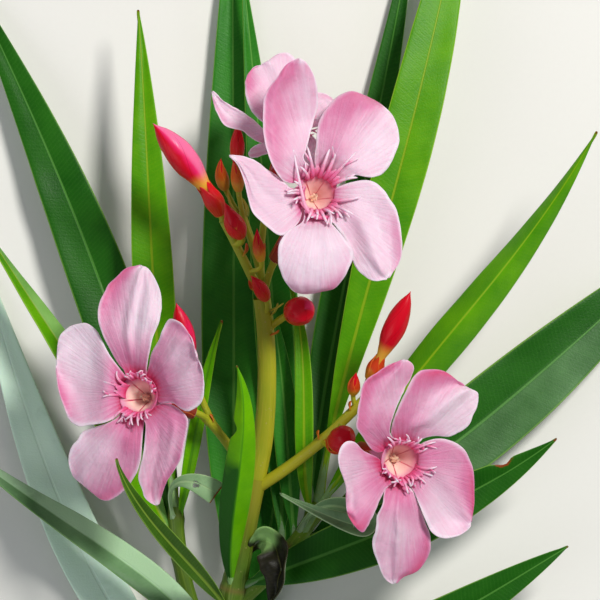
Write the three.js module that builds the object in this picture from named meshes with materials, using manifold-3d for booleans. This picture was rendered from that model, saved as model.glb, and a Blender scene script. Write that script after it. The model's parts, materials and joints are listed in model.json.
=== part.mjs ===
// A cut flowering branch of oleander, laid on its back with its blooms facing up.
// Millimetres. +X runs to the right, +Y along the branch towards its tips and +Z up from the surface it lies on.
// The places below are measured from a point among the blooms; the finished branch stands on its bottom centre.
import * as THREE from "three";
import { mergeVertices } from "three/addons/utils/BufferGeometryUtils.js";
import Module from "manifold-3d";

const wasm = await Module();
wasm.setup();

// Joins
const SEAT_GAP = 0.3; // clear space between a piece and the stem that carries it
const SMALLEST_DETAIL = 0.06; // anything finer is smoothed away after a join
const MERGE_DISTANCE = 1e-4;

// Stems
const STEM_SIDES = 8;
const NODE_SWELL = 0.16; // how far a leaf node stands out, as a share of the stem's radius
const NODE_SPREAD = 0.035; // how far a leaf node runs along, as a share of the stem's length

// Leaves
const LEAF_THICKNESS = 0.011; // as a share of the leaf's length
const LEAF_THINNEST = 0.9;
const LEAF_TIP_HALF_WIDTH = 0.3;
const LEAF_SHAPE = 0.8; // below 1 the leaf is widest before its middle, above 1 past it
const LEAF_FULLNESS = 0.9; // below 1 its sides are fuller than a sine wave
const LEAF_ROW_LENGTH = 13; // the leaf bends at most once in this length
const LEAF_ROWS = [4, 11]; // fewest and most
const LEAF_COLUMNS = 2;
const PETIOLE_HALF_WIDTH = 0.95;
const PETIOLE_SHARE = 0.05; // of the leaf's length
const BITE_SEGMENTS = [8, 6];

// The thin stalk of a bud or bloom
const PEDICEL_RADIUS = 0.8;
const PEDICEL_SWEEP = 0.4; // share of its span over which it swings into line with the calyx
const PEDICEL_OVERLAP = 0.4; // how far it runs into the calyx
const PEDICEL_STEPS = 4;
const PEDICEL_SIDES = 6;

// Buds
const BUD_SIDES = 7;
const BUD_STEPS = 8;
const BUD_NECK = 0.42; // of the bud's widest radius, where it leaves the calyx
const BUD_SWELLS_AT = 0.05; // as a share of its length
const BUD_WIDEST_AT = 0.6; // as a share of its length
const BUD_CLOSING = 0.97; // 1 closes the bud to a sharp point
const BUD_CALYX_RADIUS = 2.1;
const BUD_CALYX_FULLNESS = 0.5;

// Petals, their heights measured from the plane of the bloom's mouth
const PETAL_THICKNESS = 0.6;
const PETAL_ROWS = 5;
const PETAL_COLUMNS = 4;
const PETAL_ROW_CROWDING = 1.4; // above 1 its rows lie closer towards the tip
const PETAL_SKEW = 0.07; // how much wider its right half is than its left, as a share of its width
const PETAL_ROOT = { reach: 3.9, height: -1.5 };
const PETAL_BEND = { reach: 6.4, height: 2 }; // where it turns over the rim of the throat
const PETAL_CROWN = { share: 0.6, height: 3 }; // where it arches highest, as a share of its reach
const PETAL_WIDEST_AT = 0.66; // as a share of its length
const PETAL_OPENING = 1.2; // how late it widens
const PETAL_TIP_SHARE = 0.2; // of its width, left at the very tip
const ROUND_TIP = 0.5;
const POINTED_TIP = 0.8;
const CLAW_HALF_WIDTH = 2.6; // of a petal, where it leaves the throat

// Blooms, their depths measured from the mouth along the bloom's axis
const TUBE_RADIUS = 1.5;
const TUBE_STEPS = 9;
const NECK_DEPTH = 8;
const THROAT_RADIUS = 5.2;
const THROAT_WALL = 0.8;
const THROAT_SIDES = 10;
const THROAT_OPENS = { from: 0.38, over: 0.5, power: 1.2 }; // as shares of the tube's length
const HOLLOW_DEPTH = 6;
const HOLLOW_SHARES = [0.1, 0.5, 1, 1]; // of the throat's inner radius, from the hollow's foot to its rim
const HOLLOW_OVERRUN = 0.4;
const FRINGE_HEIGHT = 2.6; // of the ring of scales that stands over the throat, past the petals' roots
const CALYX_LENGTH = 6.5;
const CALYX_RADIUS = 2.3;
const CALYX_SWEEP = [0.12, 0.9]; // the part of a half wave that its outline follows

const UP = new THREE.Vector3(0, 0, 1);

const TONES = {
  stem: 0x6d8430,
  stalk: 0x9a8f2c,
  petal: 0xe9a9cd,
  bud: 0xd42455,
  calyx: 0xc0301c,
  brightLeaf: 0x5aa60a,
  darkLeaf: 0x1f6a22,
  limeLeaf: 0x74b80f,
  paleLeaf: 0x9db8a2,
  witheredLeaf: 0x3a2a22,
};

// Stems: what each grows from and how far along it, its course, its radii at foot and tip, its rings,
// and how far along it its leaf nodes stand
const STEMS = {
  main_stem: {
    base: [-19, -107.5, 3.4], leave: [-19, -86, 3.4], lean: [-15.5, -66, 15], tip: [-10, -40, 19],
    radii: [3.4, 2.5], steps: 12, nodes: [0.13, 0.29, 0.62], tone: "stem",
  },
  shoot_right: {
    from: "main_stem", at: 0.57, leave: [-12, -67, 13], lean: [-1, -57, 14], tip: [4.5, -46, 15],
    radii: [2, 1.7], steps: 7, nodes: [0.6, 0.9], tone: "stem",
  },
  shoot_left: {
    from: "main_stem", at: 0.36, leave: [-25.5, -73, 11], lean: [-28, -58, 12.5], tip: [-28, -46.5, 14],
    radii: [2, 1.7], steps: 7, nodes: [0.7, 0.93], tone: "stem",
  },
  stalk_top: {
    from: "main_stem", at: 1, leave: [-6.5, -26.5, 22.5], lean: [-7, -8.5, 28], tip: [-8.5, 0.5, 30],
    radii: [2.3, 1.9], steps: 8, nodes: [], tone: "stalk",
  },
  stalk_top_left: {
    from: "stalk_top", at: 1, leave: [-11.5, 7, 32], lean: [-14, 12, 34], tip: [-17, 17.5, 35.5],
    radii: [1.1, 0.9], steps: 5, nodes: [], tone: "stalk",
  },
  stalk_top_middle: {
    from: "stalk_top", at: 1, leave: [-8, 7, 28.5], lean: [-11, 13, 31], tip: [-13, 20, 33],
    radii: [1, 0.8], steps: 5, nodes: [], tone: "stalk",
  },
  stalk_right: {
    from: "main_stem", at: 0.96, leave: [-1, -37, 22.5], lean: [6, -31, 25], tip: [14, -22.5, 29.5],
    radii: [1.4, 1.1], steps: 8, nodes: [0.6], tone: "stalk",
  },
  stalk_left: {
    from: "main_stem", at: 0.96, leave: [-13, -36, 24], lean: [-17.5, -30, 25.5], tip: [-21, -26.5, 28.5],
    radii: [1.1, 0.95], steps: 6, nodes: [], tone: "stalk",
  },
};

// Leaves: the stem each grows from and how far along it, its course, its full width, how far its halves fold up
// and how far its right edge rises, in degrees at its base and tip. Some have a shape of their own, are cut off
// at a share of their length, or have been bitten at a share of it, on the left (-1) or the right (1)
const LEAVES = {
  tall_right: {
    from: "shoot_right", at: 0.97, leave: [8.5, -12.5, 12.5], lean: [27, 34, 29], tip: [39, 104, 3],
    width: 12.2, fold: 8, roll: [0, 6], tone: "brightLeaf", shape: 1.4,
  },
  folded_right: {
    from: "shoot_right", at: 0.74, leave: [27.5, -9, 49], lean: [47, 3.5, 24], tip: [66, 37.5, 33],
    width: 14, fold: -50, roll: [-5, -10], tone: "brightLeaf",
  },
  wide_right: {
    from: "shoot_right", at: 0.62, leave: [28, -42.5, 14], lean: [64.5, -8, 7], tip: [92.5, 17.5, 1.2],
    width: 18, fold: 10, roll: [-4, 0], tone: "darkLeaf",
  },
  inner_bright: {
    from: "shoot_right", at: 0.89, leave: [-1.5, -39, 22.5], lean: [3.9, -11, 20.5], tip: [-3, 5.5, 18],
    width: 4.4, fold: 20, roll: [0, 0], tone: "brightLeaf",
  },
  inner_dark: {
    from: "shoot_right", at: 0.66, leave: [-3, -38, 14.5], lean: [-3, -16.5, 15], tip: [-7, 1, 14],
    width: 6, fold: 15, roll: [0, 0], tone: "darkLeaf",
  },
  back_right: {
    from: "shoot_right", at: 0.84, leave: [3.5, -20, 0], lean: [15.5, 25, 6.5], tip: [27, 92, 1.2],
    width: 10, fold: 10, roll: [0, 0], tone: "darkLeaf",
  },
  back_upper: {
    from: "shoot_right", at: 0.5, leave: [-3.5, -28, 6], lean: [-8, 29, 15.5], tip: [-13, 75, 8],
    width: 9, fold: 12, roll: [0, 0], tone: "darkLeaf",
  },
  curled: {
    from: "shoot_right", at: 0.7, leave: [4, -33, 29], lean: [34, -63, 34], tip: [-4.5, -43.1, 27],
    width: 7, fold: 30, roll: [0, 20], tone: "paleLeaf", shape: 1.2,
  },
  left_upright: {
    from: "shoot_left", at: 0.97, leave: [-33.5, -14, 16], lean: [-33.5, 28, 23], tip: [-36.5, 65.5, 16],
    width: 9.5, fold: 12, roll: [0, 0], tone: "brightLeaf",
  },
  lime: {
    from: "shoot_left", at: 0.86, leave: [-24.5, -37, 21], lean: [-22, -18, 23.5], tip: [-17.5, -4.5, 25],
    width: 3.5, fold: 15, roll: [0, 0], tone: "limeLeaf",
  },
  stub: {
    from: "shoot_left", at: 0.88, leave: [-32.5, -38.5, 25.5], lean: [-24.5, -39, 26], tip: [-18.5, -43.5, 24],
    width: 5.5, fold: 8, roll: [0, 0], tone: "paleLeaf", shape: 2, cutOff: 0.72,
  },
  left_big: {
    from: "shoot_left", at: 0.62, leave: [-36, -16.5, 9], lean: [-51, 24, 11], tip: [-77, 76, 1.2],
    width: 14, fold: 10, roll: [0, 0], tone: "darkLeaf",
  },
  left_narrow: {
    from: "shoot_left", at: 0.72, leave: [-41.5, -27, 20], lean: [-51.5, -14, 22], tip: [-75, 21.5, 10],
    width: 9, fold: 15, roll: [20, 62], tone: "brightLeaf",
  },
  bitten_right: {
    from: "main_stem", at: 0.62, leave: [9, -55, 27.5], lean: [36.5, -47.5, 18.5], tip: [57.5, -31, 24],
    width: 13.5, fold: 18, roll: [5, 5], tone: "darkLeaf", bite: { at: 0.84, side: -1, radius: 1.6 },
  },
  front_short: {
    from: "main_stem", at: 0.6, leave: [-18, -50.5, 32], lean: [-9, -29, 38.5], tip: [-14, -14.5, 40],
    width: 8.8, fold: -35, roll: [0, 0], tone: "limeLeaf", bite: { at: 0.7, side: -1, radius: 1.7 },
  },
  front_thin: {
    from: "main_stem", at: 0.54, leave: [-22, -60, 30], lean: [-37.5, -46.5, 56], tip: [-40, -34.5, 54],
    width: 4.6, fold: 30, roll: [0, 35], tone: "brightLeaf",
  },
  withered: {
    from: "main_stem", at: 0.63, leave: [-8.5, -43.5, 18], lean: [0, -58, 30], tip: [-7, -68.5, 23],
    width: 10.5, fold: 40, roll: [0, 50], tone: "witheredLeaf", shape: 1.5,
  },
  back_centre: {
    from: "main_stem", at: 0.61, leave: [-15, -28, 4.5], lean: [-15, 30, 7.5], tip: [-15.5, 96, 1.2],
    width: 15, fold: 10, roll: [0, 0], tone: "darkLeaf",
  },
  low_right: {
    from: "main_stem", at: 0.29, leave: [10.5, -88.5, 13], lean: [42, -66.5, 17.5], tip: [60.5, -55.5, 17],
    width: 11.5, fold: 12, roll: [0, 0], tone: "darkLeaf",
  },
  left_long: {
    from: "main_stem", at: 0.3, leave: [-19.5, -64, 28], lean: [-58.5, -50.5, 11.5], tip: [-81.5, -29.5, 8],
    width: 8, fold: 12, roll: [0, 50], tone: "darkLeaf",
  },
  back_low: {
    from: "main_stem", at: 0.28, leave: [-6.5, -64.5, 4], lean: [-2.5, -30, 6], tip: [-1, 4.5, 1.2],
    width: 11, fold: 10, roll: [0, 0], tone: "darkLeaf",
  },
  back_left: {
    from: "main_stem", at: 0.21, leave: [-46, -82, 4], lean: [-62, -30, 6], tip: [-74, 14, 1.2],
    width: 12, fold: 8, roll: [0, 0], tone: "paleLeaf",
  },
  foot_right: {
    from: "main_stem", at: 0.13, leave: [-2, -97, 10], lean: [20, -96, 12], tip: [38, -101, 1.2],
    width: 12, fold: 12, roll: [0, 0], tone: "darkLeaf",
  },
  foot_left: {
    from: "main_stem", at: 0.15, leave: [-34, -96, 11], lean: [-52, -92, 12], tip: [-70, -84, 1.2],
    width: 12, fold: 12, roll: [0, 0], tone: "darkLeaf",
  },
};

// Buds: the stem each grows from and how far along it, its course from the foot of its calyx to its point,
// its full width and the share of its length that the calyx covers. Some have a thinner pedicel
const BUDS = {
  big: {
    from: "stalk_top_left", at: 1, base: [-17.5, 19, 36], bend: [-21, 26.5, 39.5], tip: [-32.5, 39, 43],
    width: 6.6, calyx: 0.33, tone: "bud",
  },
  red: {
    from: "stalk_top_left", at: 0.7, base: [-13, 14, 38], bend: [-15, 17.5, 41], tip: [-16.5, 21.5, 43],
    width: 4.2, calyx: 0.85, tone: "calyx",
  },
  pointed: {
    from: "stalk_top_middle", at: 1, base: [-14, 30.5, 35], bend: [-14, 35, 36], tip: [-13.5, 40, 37],
    width: 2.8, pedicel: 0.55, calyx: 0.8, tone: "calyx",
  },
  brown_left: {
    from: "stalk_top_middle", at: 0.82, base: [-16.5, 24.5, 33], bend: [-18, 28, 34.5], tip: [-17.5, 31.5, 36],
    width: 2.6, pedicel: 0.55, calyx: 0.8, tone: "calyx",
  },
  brown_right: {
    from: "stalk_top_middle", at: 0.6, base: [-13.6, 24, 37], bend: [-13.9, 27.5, 38], tip: [-14.8, 31, 38.5],
    width: 2.4, pedicel: 0.55, calyx: 0.8, tone: "calyx",
  },
  orange: {
    from: "stalk_top_left", at: 0.35, base: [-8.5, 8.5, 37], bend: [-9.5, 12, 38], tip: [-9.5, 16, 39],
    width: 2.3, pedicel: 0.55, calyx: 0.8, tone: "calyx",
  },
  low: {
    from: "stalk_top", at: 0.9, base: [-7.5, 0, 34], bend: [-9, 3.5, 36.5], tip: [-11, 5.5, 37.5],
    width: 2.9, pedicel: 0.55, calyx: 0.85, tone: "calyx",
  },
  round: {
    from: "stalk_top", at: 0.82, base: [-2, -3, 33], bend: [0, -2.5, 37], tip: [1, -2, 42],
    width: 6.3, calyx: 0.35, tone: "bud",
  },
  right: {
    from: "stalk_right", at: 1, base: [15.5, -17.5, 31], bend: [18.5, -12, 35], tip: [24.5, 2, 39],
    width: 5, calyx: 0.28, tone: "bud",
  },
  right_small: {
    from: "stalk_right", at: 0.93, base: [11.8, -21, 30.5], bend: [12, -18.5, 32.5], tip: [12.5, -16, 34],
    width: 2.5, pedicel: 0.55, calyx: 0.8, tone: "calyx",
  },
  pink: {
    from: "stalk_right", at: 0.6, base: [7.5, -32.5, 31], bend: [8.5, -31.5, 36], tip: [11, -29, 40],
    width: 5.6, calyx: 0.35, tone: "bud",
  },
  left: {
    from: "stalk_left", at: 0.8, base: [-23, -19, 29.5], bend: [-25, -10, 34], tip: [-27.5, -0.5, 36],
    width: 4.6, calyx: 0.3, tone: "bud",
  },
};

// Blooms: the stem each grows from and how far along it, the foot of its calyx, the middle of its mouth, how far
// it leans and towards which side, and its petals by their bearing, reach, width, lift and roll at the tip.
// A petal that curls starts a turn away from its bearing, and one is pointed
const BLOOMS = {
  top: {
    from: "stalk_top", at: 0.97, calyx: [-5.5, 9, 33.5], mouth: [4, 23.5, 50], lean: 16, towards: 45,
    petals: [
      { bearing: 104, reach: 30, width: 13.5, lift: 1, roll: -20 },
      { bearing: 50, reach: 23, width: 21, lift: 0, roll: 4 },
      { bearing: -46, reach: 24.5, width: 16.5, lift: 0, roll: -6 },
      { bearing: -92, reach: 22.7, width: 17, lift: -2.5, roll: 6 },
      { bearing: 156, turn: 24, reach: 21.4, width: 12.5, lift: 1, roll: 8, pointed: true },
    ],
  },
  left: {
    from: "stalk_left", at: 1, calyx: [-23.5, -25, 31.5], mouth: [-36, -21, 42], lean: 24, towards: 162,
    petals: [
      { bearing: 92, reach: 28.6, width: 14.5, lift: 1, roll: 6 },
      { bearing: 34, reach: 16, width: 21, lift: 6, roll: 0 },
      { bearing: -76, reach: 24.5, width: 11, lift: -4, roll: 14 },
      { bearing: -116, reach: 24.5, width: 17, lift: -1, roll: 4 },
      { bearing: 162, reach: 18.5, width: 21, lift: 0, roll: 4 },
    ],
  },
  right: {
    from: "stalk_right", at: 0.78, calyx: [13, -33, 32], mouth: [22.5, -35.5, 44], lean: 20, towards: -16,
    petals: [
      { bearing: 112, reach: 23, width: 14.5, lift: 4, roll: 6 },
      { bearing: 52, reach: 23, width: 17, lift: 0, roll: 10 },
      { bearing: -41, reach: 21, width: 17, lift: 0, roll: 4 },
      { bearing: -91, reach: 28, width: 14, lift: -1, roll: 4 },
      { bearing: -141, reach: 18.5, width: 16, lift: 7, roll: 0 },
    ],
  },
  behind: {
    from: "stalk_top", at: 0.88, calyx: [-6.5, 24.5, 28], mouth: [-2, 39, 36.5], lean: 14, towards: 80,
    petals: [
      { bearing: 114, reach: 16, width: 13, lift: 1, roll: 0 },
      { bearing: 155, reach: 19, width: 7, lift: 2, roll: 40 },
      { bearing: -146, reach: 10, width: 6, lift: 3, roll: 20 },
      { bearing: -50, reach: 11, width: 9, lift: 1, roll: 0 },
      { bearing: 30, reach: 12, width: 12, lift: 0, roll: 0 },
    ],
  },
};

const point = (xyz) => new THREE.Vector3(...xyz);
const between = THREE.MathUtils.lerp;
const radians = THREE.MathUtils.degToRad;
const smoothstep = THREE.MathUtils.smoothstep;
const clamp = THREE.MathUtils.clamp;

// A closed geometry as a solid
function solid(geometry) {
  const bare = geometry.clone();
  bare.deleteAttribute("normal");
  bare.deleteAttribute("uv");
  const merged = mergeVertices(bare, MERGE_DISTANCE);
  const vertProperties = new Float32Array(merged.getAttribute("position").array);
  const triVerts = new Uint32Array(merged.getIndex().array);
  return new wasm.Manifold(new wasm.Mesh({ numProp: 3, vertProperties, triVerts }));
}

// A solid as a geometry
function geometryOf(shape) {
  const { vertProperties, triVerts } = shape.getMesh();
  const geometry = new THREE.BufferGeometry();
  geometry.setAttribute("position", new THREE.BufferAttribute(vertProperties, 3));
  geometry.setIndex(new THREE.BufferAttribute(triVerts, 1));
  geometry.computeVertexNormals();
  return geometry;
}

const joined = (shapes) => shapes.reduce((whole, next) => whole.add(next));

// The largest body that is left of a shape after a cut
function largestBody(shape) {
  const bodies = shape.simplify(SMALLEST_DETAIL).decompose();
  return bodies.reduce((best, next) => (next.volume() > best.volume() ? next : best));
}

// A round limb: a cylinder whose rings follow a curve, with its end faces pushed out by the overrun
function limb(curve, radiusAt, steps, sides, overrun = 0) {
  const shape = new THREE.CylinderGeometry(1, 1, 1, sides, steps);
  const spots = shape.getAttribute("position");
  const { tangents, normals, binormals } = curve.computeFrenetFrames(steps, false);
  const spot = new THREE.Vector3();
  for (let i = 0; i < spots.count; i++) {
    spot.fromBufferAttribute(spots, i);
    const ring = Math.round((spot.y + 0.5) * steps);
    const radius = radiusAt(ring / steps);
    const push = ring === 0 ? -overrun : ring === steps ? overrun : 0;
    const place = curve.getPointAt(ring / steps);
    place.addScaledVector(tangents[ring], push);
    place.addScaledVector(normals[ring], spot.x * radius);
    place.addScaledVector(binormals[ring], -spot.z * radius);
    spots.setXYZ(i, place.x, place.y, place.z);
  }
  return solid(shape);
}

// A thin blade along a curve, its halves folded up from the midrib and the whole rolled about the curve
function blade(curve, { up, halfWidthAt, thickness, roll, fold, rows, columns, crowding = 1 }) {
  const shape = new THREE.BoxGeometry(2, 1, 1, columns, 1, rows);
  const spots = shape.getAttribute("position");
  for (let i = 0; i < spots.count; i++) {
    const t = 1 - (0.5 + spots.getZ(i)) ** crowding;
    const course = curve.getTangent(t);
    const side = new THREE.Vector3().crossVectors(course, up).normalize();
    side.applyAxisAngle(course, radians(between(roll[0], roll[1], t)));
    const normal = new THREE.Vector3().crossVectors(side, course);
    const across = spots.getX(i) * halfWidthAt(t, Math.sign(spots.getX(i)));
    const rise = Math.abs(across) * Math.sin(radians(fold)) + spots.getY(i) * thickness;
    const place = curve.getPoint(t);
    place.addScaledVector(side, across * Math.cos(radians(fold)));
    place.addScaledVector(normal, rise);
    spots.setXYZ(i, place.x, place.y, place.z);
  }
  return solid(shape);
}

// A turned form from one point to another, its radii spread evenly along it
function turned(from, to, radii, sides) {
  const length = from.distanceTo(to);
  const rim = radii.map((radius, i) => new THREE.Vector2(radius, (i * length) / (radii.length - 1)));
  const profile = [new THREE.Vector2(0, 0), ...rim, new THREE.Vector2(0, length)];
  const shape = new THREE.LatheGeometry(profile, sides);
  const course = to.clone().sub(from).normalize();
  shape.applyQuaternion(new THREE.Quaternion().setFromUnitVectors(new THREE.Vector3(0, 1, 0), course));
  shape.translate(from.x, from.y, from.z);
  return solid(shape);
}

// A stem's radius tapers from foot to tip and swells at its leaf nodes
function stemRadius(row, t) {
  const swell = row.nodes.reduce((sum, at) => sum + Math.exp(-(((t - at) / NODE_SPREAD) ** 2)), 0);
  return between(row.radii[0], row.radii[1], t) * (1 + NODE_SWELL * swell);
}

// Each stem as its curve and solid, and all of them a seat gap larger for the pieces that they carry
const stems = {};
let stemClearance = null;
for (const [name, row] of Object.entries(STEMS)) {
  const base = row.from ? stems[row.from].curve.getPointAt(row.at) : point(row.base);
  const curve = new THREE.CubicBezierCurve3(base, point(row.leave), point(row.lean), point(row.tip));
  const whole = limb(curve, (t) => stemRadius(row, t), row.steps, STEM_SIDES);
  const grown = limb(curve, (t) => stemRadius(row, t) + SEAT_GAP, row.steps, STEM_SIDES, SEAT_GAP);
  const shape = stemClearance ? largestBody(whole.subtract(stemClearance)) : whole;
  stems[name] = { curve, shape };
  stemClearance = stemClearance ? stemClearance.add(grown) : grown;
}

const clearOfStems = (shape) => largestBody(shape.subtract(stemClearance));
const stemPoint = (row) => stems[row.from].curve.getPointAt(row.at);

// Half the leaf's width: a slim stalk, then a lance that ends in a point, or in the cut of one that lost its tip
function leafHalfWidth(row, t) {
  const along = Math.max(0, t - PETIOLE_SHARE) / (1 - PETIOLE_SHARE);
  const share = (along * (row.cutOff ?? 1)) ** (row.shape ?? LEAF_SHAPE);
  const lance = (row.width / 2) * Math.sin(Math.PI * share) ** LEAF_FULLNESS;
  const thinnest = t <= PETIOLE_SHARE ? PETIOLE_HALF_WIDTH : LEAF_TIP_HALF_WIDTH;
  return Math.max(thinnest, lance);
}

function leaf(row) {
  const curve = new THREE.CubicBezierCurve3(stemPoint(row), point(row.leave), point(row.lean), point(row.tip));
  const length = curve.getLength();
  const whole = blade(curve, {
    up: UP,
    halfWidthAt: (t) => leafHalfWidth(row, t),
    thickness: Math.max(LEAF_THINNEST, LEAF_THICKNESS * length),
    roll: row.roll,
    fold: row.fold,
    rows: clamp(Math.round(length / LEAF_ROW_LENGTH), ...LEAF_ROWS),
    columns: LEAF_COLUMNS,
  });
  return clearOfStems(row.bite ? whole.subtract(biteOf(row, curve)) : whole);
}

// What an insect has eaten out of a leaf's edge
function biteOf(row, curve) {
  const { at, side, radius } = row.bite;
  const edge = new THREE.Vector3().crossVectors(curve.getTangent(at), UP).normalize();
  const halfWidth = leafHalfWidth(row, at);
  const place = curve.getPoint(at);
  place.addScaledVector(edge, side * halfWidth * Math.cos(radians(row.fold)));
  place.z += halfWidth * Math.sin(radians(row.fold));
  const ball = new THREE.SphereGeometry(radius, ...BITE_SEGMENTS);
  ball.translate(place.x, place.y, place.z);
  return solid(ball);
}

// The thin stalk from a stem to the foot of a calyx that looks along the given course
function pedicel(row, foot, course) {
  const base = stemPoint(row);
  const bend = foot.clone().addScaledVector(course, -PEDICEL_SWEEP * base.distanceTo(foot));
  const end = foot.clone().addScaledVector(course, PEDICEL_OVERLAP);
  const curve = new THREE.QuadraticBezierCurve3(base, bend, end);
  return limb(curve, () => row.pedicel ?? PEDICEL_RADIUS, PEDICEL_STEPS, PEDICEL_SIDES);
}

// A bud's radius: its calyx clasps the foot, then the folded petals swell and close to a point
function budRadius(row, t) {
  const widest = row.width / 2;
  const swelling = between(BUD_NECK, 1, smoothstep(t, BUD_SWELLS_AT, BUD_WIDEST_AT));
  const beyond = Math.max(0, (t - BUD_WIDEST_AT) / (1 - BUD_WIDEST_AT));
  const closing = Math.sqrt(1 - BUD_CLOSING * beyond ** 2);
  const clasp = t < row.calyx ? Math.sin((Math.PI * t) / row.calyx) ** BUD_CALYX_FULLNESS : 0;
  return Math.max(widest * swelling * closing, clasp * Math.min(widest, BUD_CALYX_RADIUS));
}

function bud(row) {
  const foot = point(row.base);
  const curve = new THREE.QuadraticBezierCurve3(foot, point(row.bend), point(row.tip));
  const body = limb(curve, (t) => budRadius(row, t), BUD_STEPS, BUD_SIDES);
  return clearOfStems(body.add(pedicel(row, foot, curve.getTangent(0))));
}

// Half a petal's width: a claw that opens to a broad blade with a round or a pointed end
function petalHalfWidth(row, t, half) {
  const widest = row.width * (0.5 + half * PETAL_SKEW);
  if (t < PETAL_WIDEST_AT) {
    const opening = Math.sin((Math.PI / 2) * (t / PETAL_WIDEST_AT)) ** PETAL_OPENING;
    return between(CLAW_HALF_WIDTH, widest, opening);
  }
  const beyond = (t - PETAL_WIDEST_AT) / (1 - PETAL_WIDEST_AT);
  const closing = (1 - beyond ** 2) ** (row.pointed ? POINTED_TIP : ROUND_TIP);
  return widest * Math.max(PETAL_TIP_SHARE, closing);
}

// A petal leaves the throat's wall, climbs over its rim and spreads square to the bloom's axis
function petal(row, axis, mouth) {
  const spread = (bearing, reach, height) => {
    const out = new THREE.Vector3(Math.cos(radians(bearing)), Math.sin(radians(bearing)), 0);
    out.z = -(axis.x * out.x + axis.y * out.y) / axis.z;
    return mouth.clone().addScaledVector(out, reach).addScaledVector(axis, height);
  };
  const early = row.bearing + (row.turn ?? 0);
  const curve = new THREE.CubicBezierCurve3(
    spread(early, PETAL_ROOT.reach, PETAL_ROOT.height),
    spread(early, PETAL_BEND.reach, PETAL_BEND.height),
    spread(early, PETAL_CROWN.share * row.reach, PETAL_CROWN.height + row.lift / 2),
    spread(row.bearing, row.reach, row.lift),
  );
  return blade(curve, {
    up: axis,
    halfWidthAt: (t, half) => petalHalfWidth(row, t, half),
    thickness: PETAL_THICKNESS,
    roll: [0, row.roll],
    fold: 0,
    rows: PETAL_ROWS,
    columns: PETAL_COLUMNS,
    crowding: PETAL_ROW_CROWDING,
  });
}

// The radius of a bloom's tube: the calyx clasps it, and past the narrow neck it opens into the throat
function tubeRadius(t, calyxShare) {
  const opened = clamp((t - THROAT_OPENS.from) / THROAT_OPENS.over, 0, 1) ** THROAT_OPENS.power;
  const clasp = t < calyxShare ? Math.sin(Math.PI * between(...CALYX_SWEEP, t / calyxShare)) : 0;
  return Math.max(between(TUBE_RADIUS, THROAT_RADIUS, opened), clasp * CALYX_RADIUS);
}

// A bloom on its pedicel, its throat's wall standing on past the petals' roots as a ring of scales
function bloom(row) {
  const foot = point(row.calyx);
  const mouth = point(row.mouth);
  const lean = radians(row.lean);
  const axis = new THREE.Vector3(Math.sin(lean), 0, Math.cos(lean)).applyAxisAngle(UP, radians(row.towards));
  const onAxis = (height) => mouth.clone().addScaledVector(axis, height);
  const course = onAxis(-NECK_DEPTH).sub(foot).normalize();
  const sepalTips = foot.clone().addScaledVector(course, CALYX_LENGTH);
  const curve = new THREE.CubicBezierCurve3(foot, sepalTips, onAxis(-NECK_DEPTH), onAxis(FRINGE_HEIGHT));
  const calyxShare = CALYX_LENGTH / curve.getLength();
  const tube = limb(curve, (t) => tubeRadius(t, calyxShare), TUBE_STEPS, THROAT_SIDES);
  const hollowRadii = HOLLOW_SHARES.map((share) => share * (THROAT_RADIUS - THROAT_WALL));
  const hollowTop = onAxis(FRINGE_HEIGHT + HOLLOW_OVERRUN);
  const hollow = turned(onAxis(-HOLLOW_DEPTH), hollowTop, hollowRadii, THROAT_SIDES);
  const petals = row.petals.map((each) => petal(each, axis, mouth));
  return clearOfStems(joined([...petals, tube, pedicel(row, foot, course)]).subtract(hollow));
}

const branch = new THREE.Group();

function addMesh(name, shape, tone) {
  const material = new THREE.MeshStandardMaterial({ color: TONES[tone], roughness: 0.55, metalness: 0 });
  const mesh = new THREE.Mesh(geometryOf(shape), material);
  mesh.name = name;
  branch.add(mesh);
}

for (const [name, row] of Object.entries(STEMS)) {
  addMesh(name, stems[name].shape, row.tone);
}
for (const [name, row] of Object.entries(LEAVES)) {
  addMesh(`leaf_${name}`, leaf(row), row.tone);
}
for (const [name, row] of Object.entries(BUDS)) {
  addMesh(`bud_${name}`, bud(row), row.tone);
}
for (const [name, row] of Object.entries(BLOOMS)) {
  addMesh(`bloom_${name}`, bloom(row), "petal");
}

// The branch is moved until its bottom centre is the origin
const box = new THREE.Box3().setFromObject(branch, true);
const middle = box.getCenter(new THREE.Vector3());
branch.position.set(-middle.x, -middle.y, -box.min.z);
const group = new THREE.Group();
group.add(branch);

export default group;
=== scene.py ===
"""A cut oleander branch in flower, lying on its back with its blooms facing up.

The branch's forms are worked out in millimetres, in the part's own measuring frame, and moved into the
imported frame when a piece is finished. +X runs to the right, +Y along the branch towards its tips and +Z up.
"""

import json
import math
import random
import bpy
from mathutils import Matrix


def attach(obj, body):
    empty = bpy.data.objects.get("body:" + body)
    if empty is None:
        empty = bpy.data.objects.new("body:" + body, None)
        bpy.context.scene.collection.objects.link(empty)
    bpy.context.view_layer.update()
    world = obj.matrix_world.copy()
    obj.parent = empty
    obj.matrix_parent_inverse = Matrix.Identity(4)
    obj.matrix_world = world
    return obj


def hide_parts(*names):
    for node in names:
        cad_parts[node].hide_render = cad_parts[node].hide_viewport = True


bl_info = {
    "name": "Oleander branch",
    "version": (1, 0, 0),
    "blender": (4, 5, 0),
    "location": "3D View > Sidebar > Branch",
    "description": "Dresses a cut oleander branch with stems, leaves, buds and blooms, and sets its stage",
    "category": "Add Mesh",
}

from bisect import bisect_left
from functools import partial
from itertools import count

import bmesh
import bpy
from bpy.props import FloatProperty, FloatVectorProperty, PointerProperty
from mathutils import Matrix, Vector, noise

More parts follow.
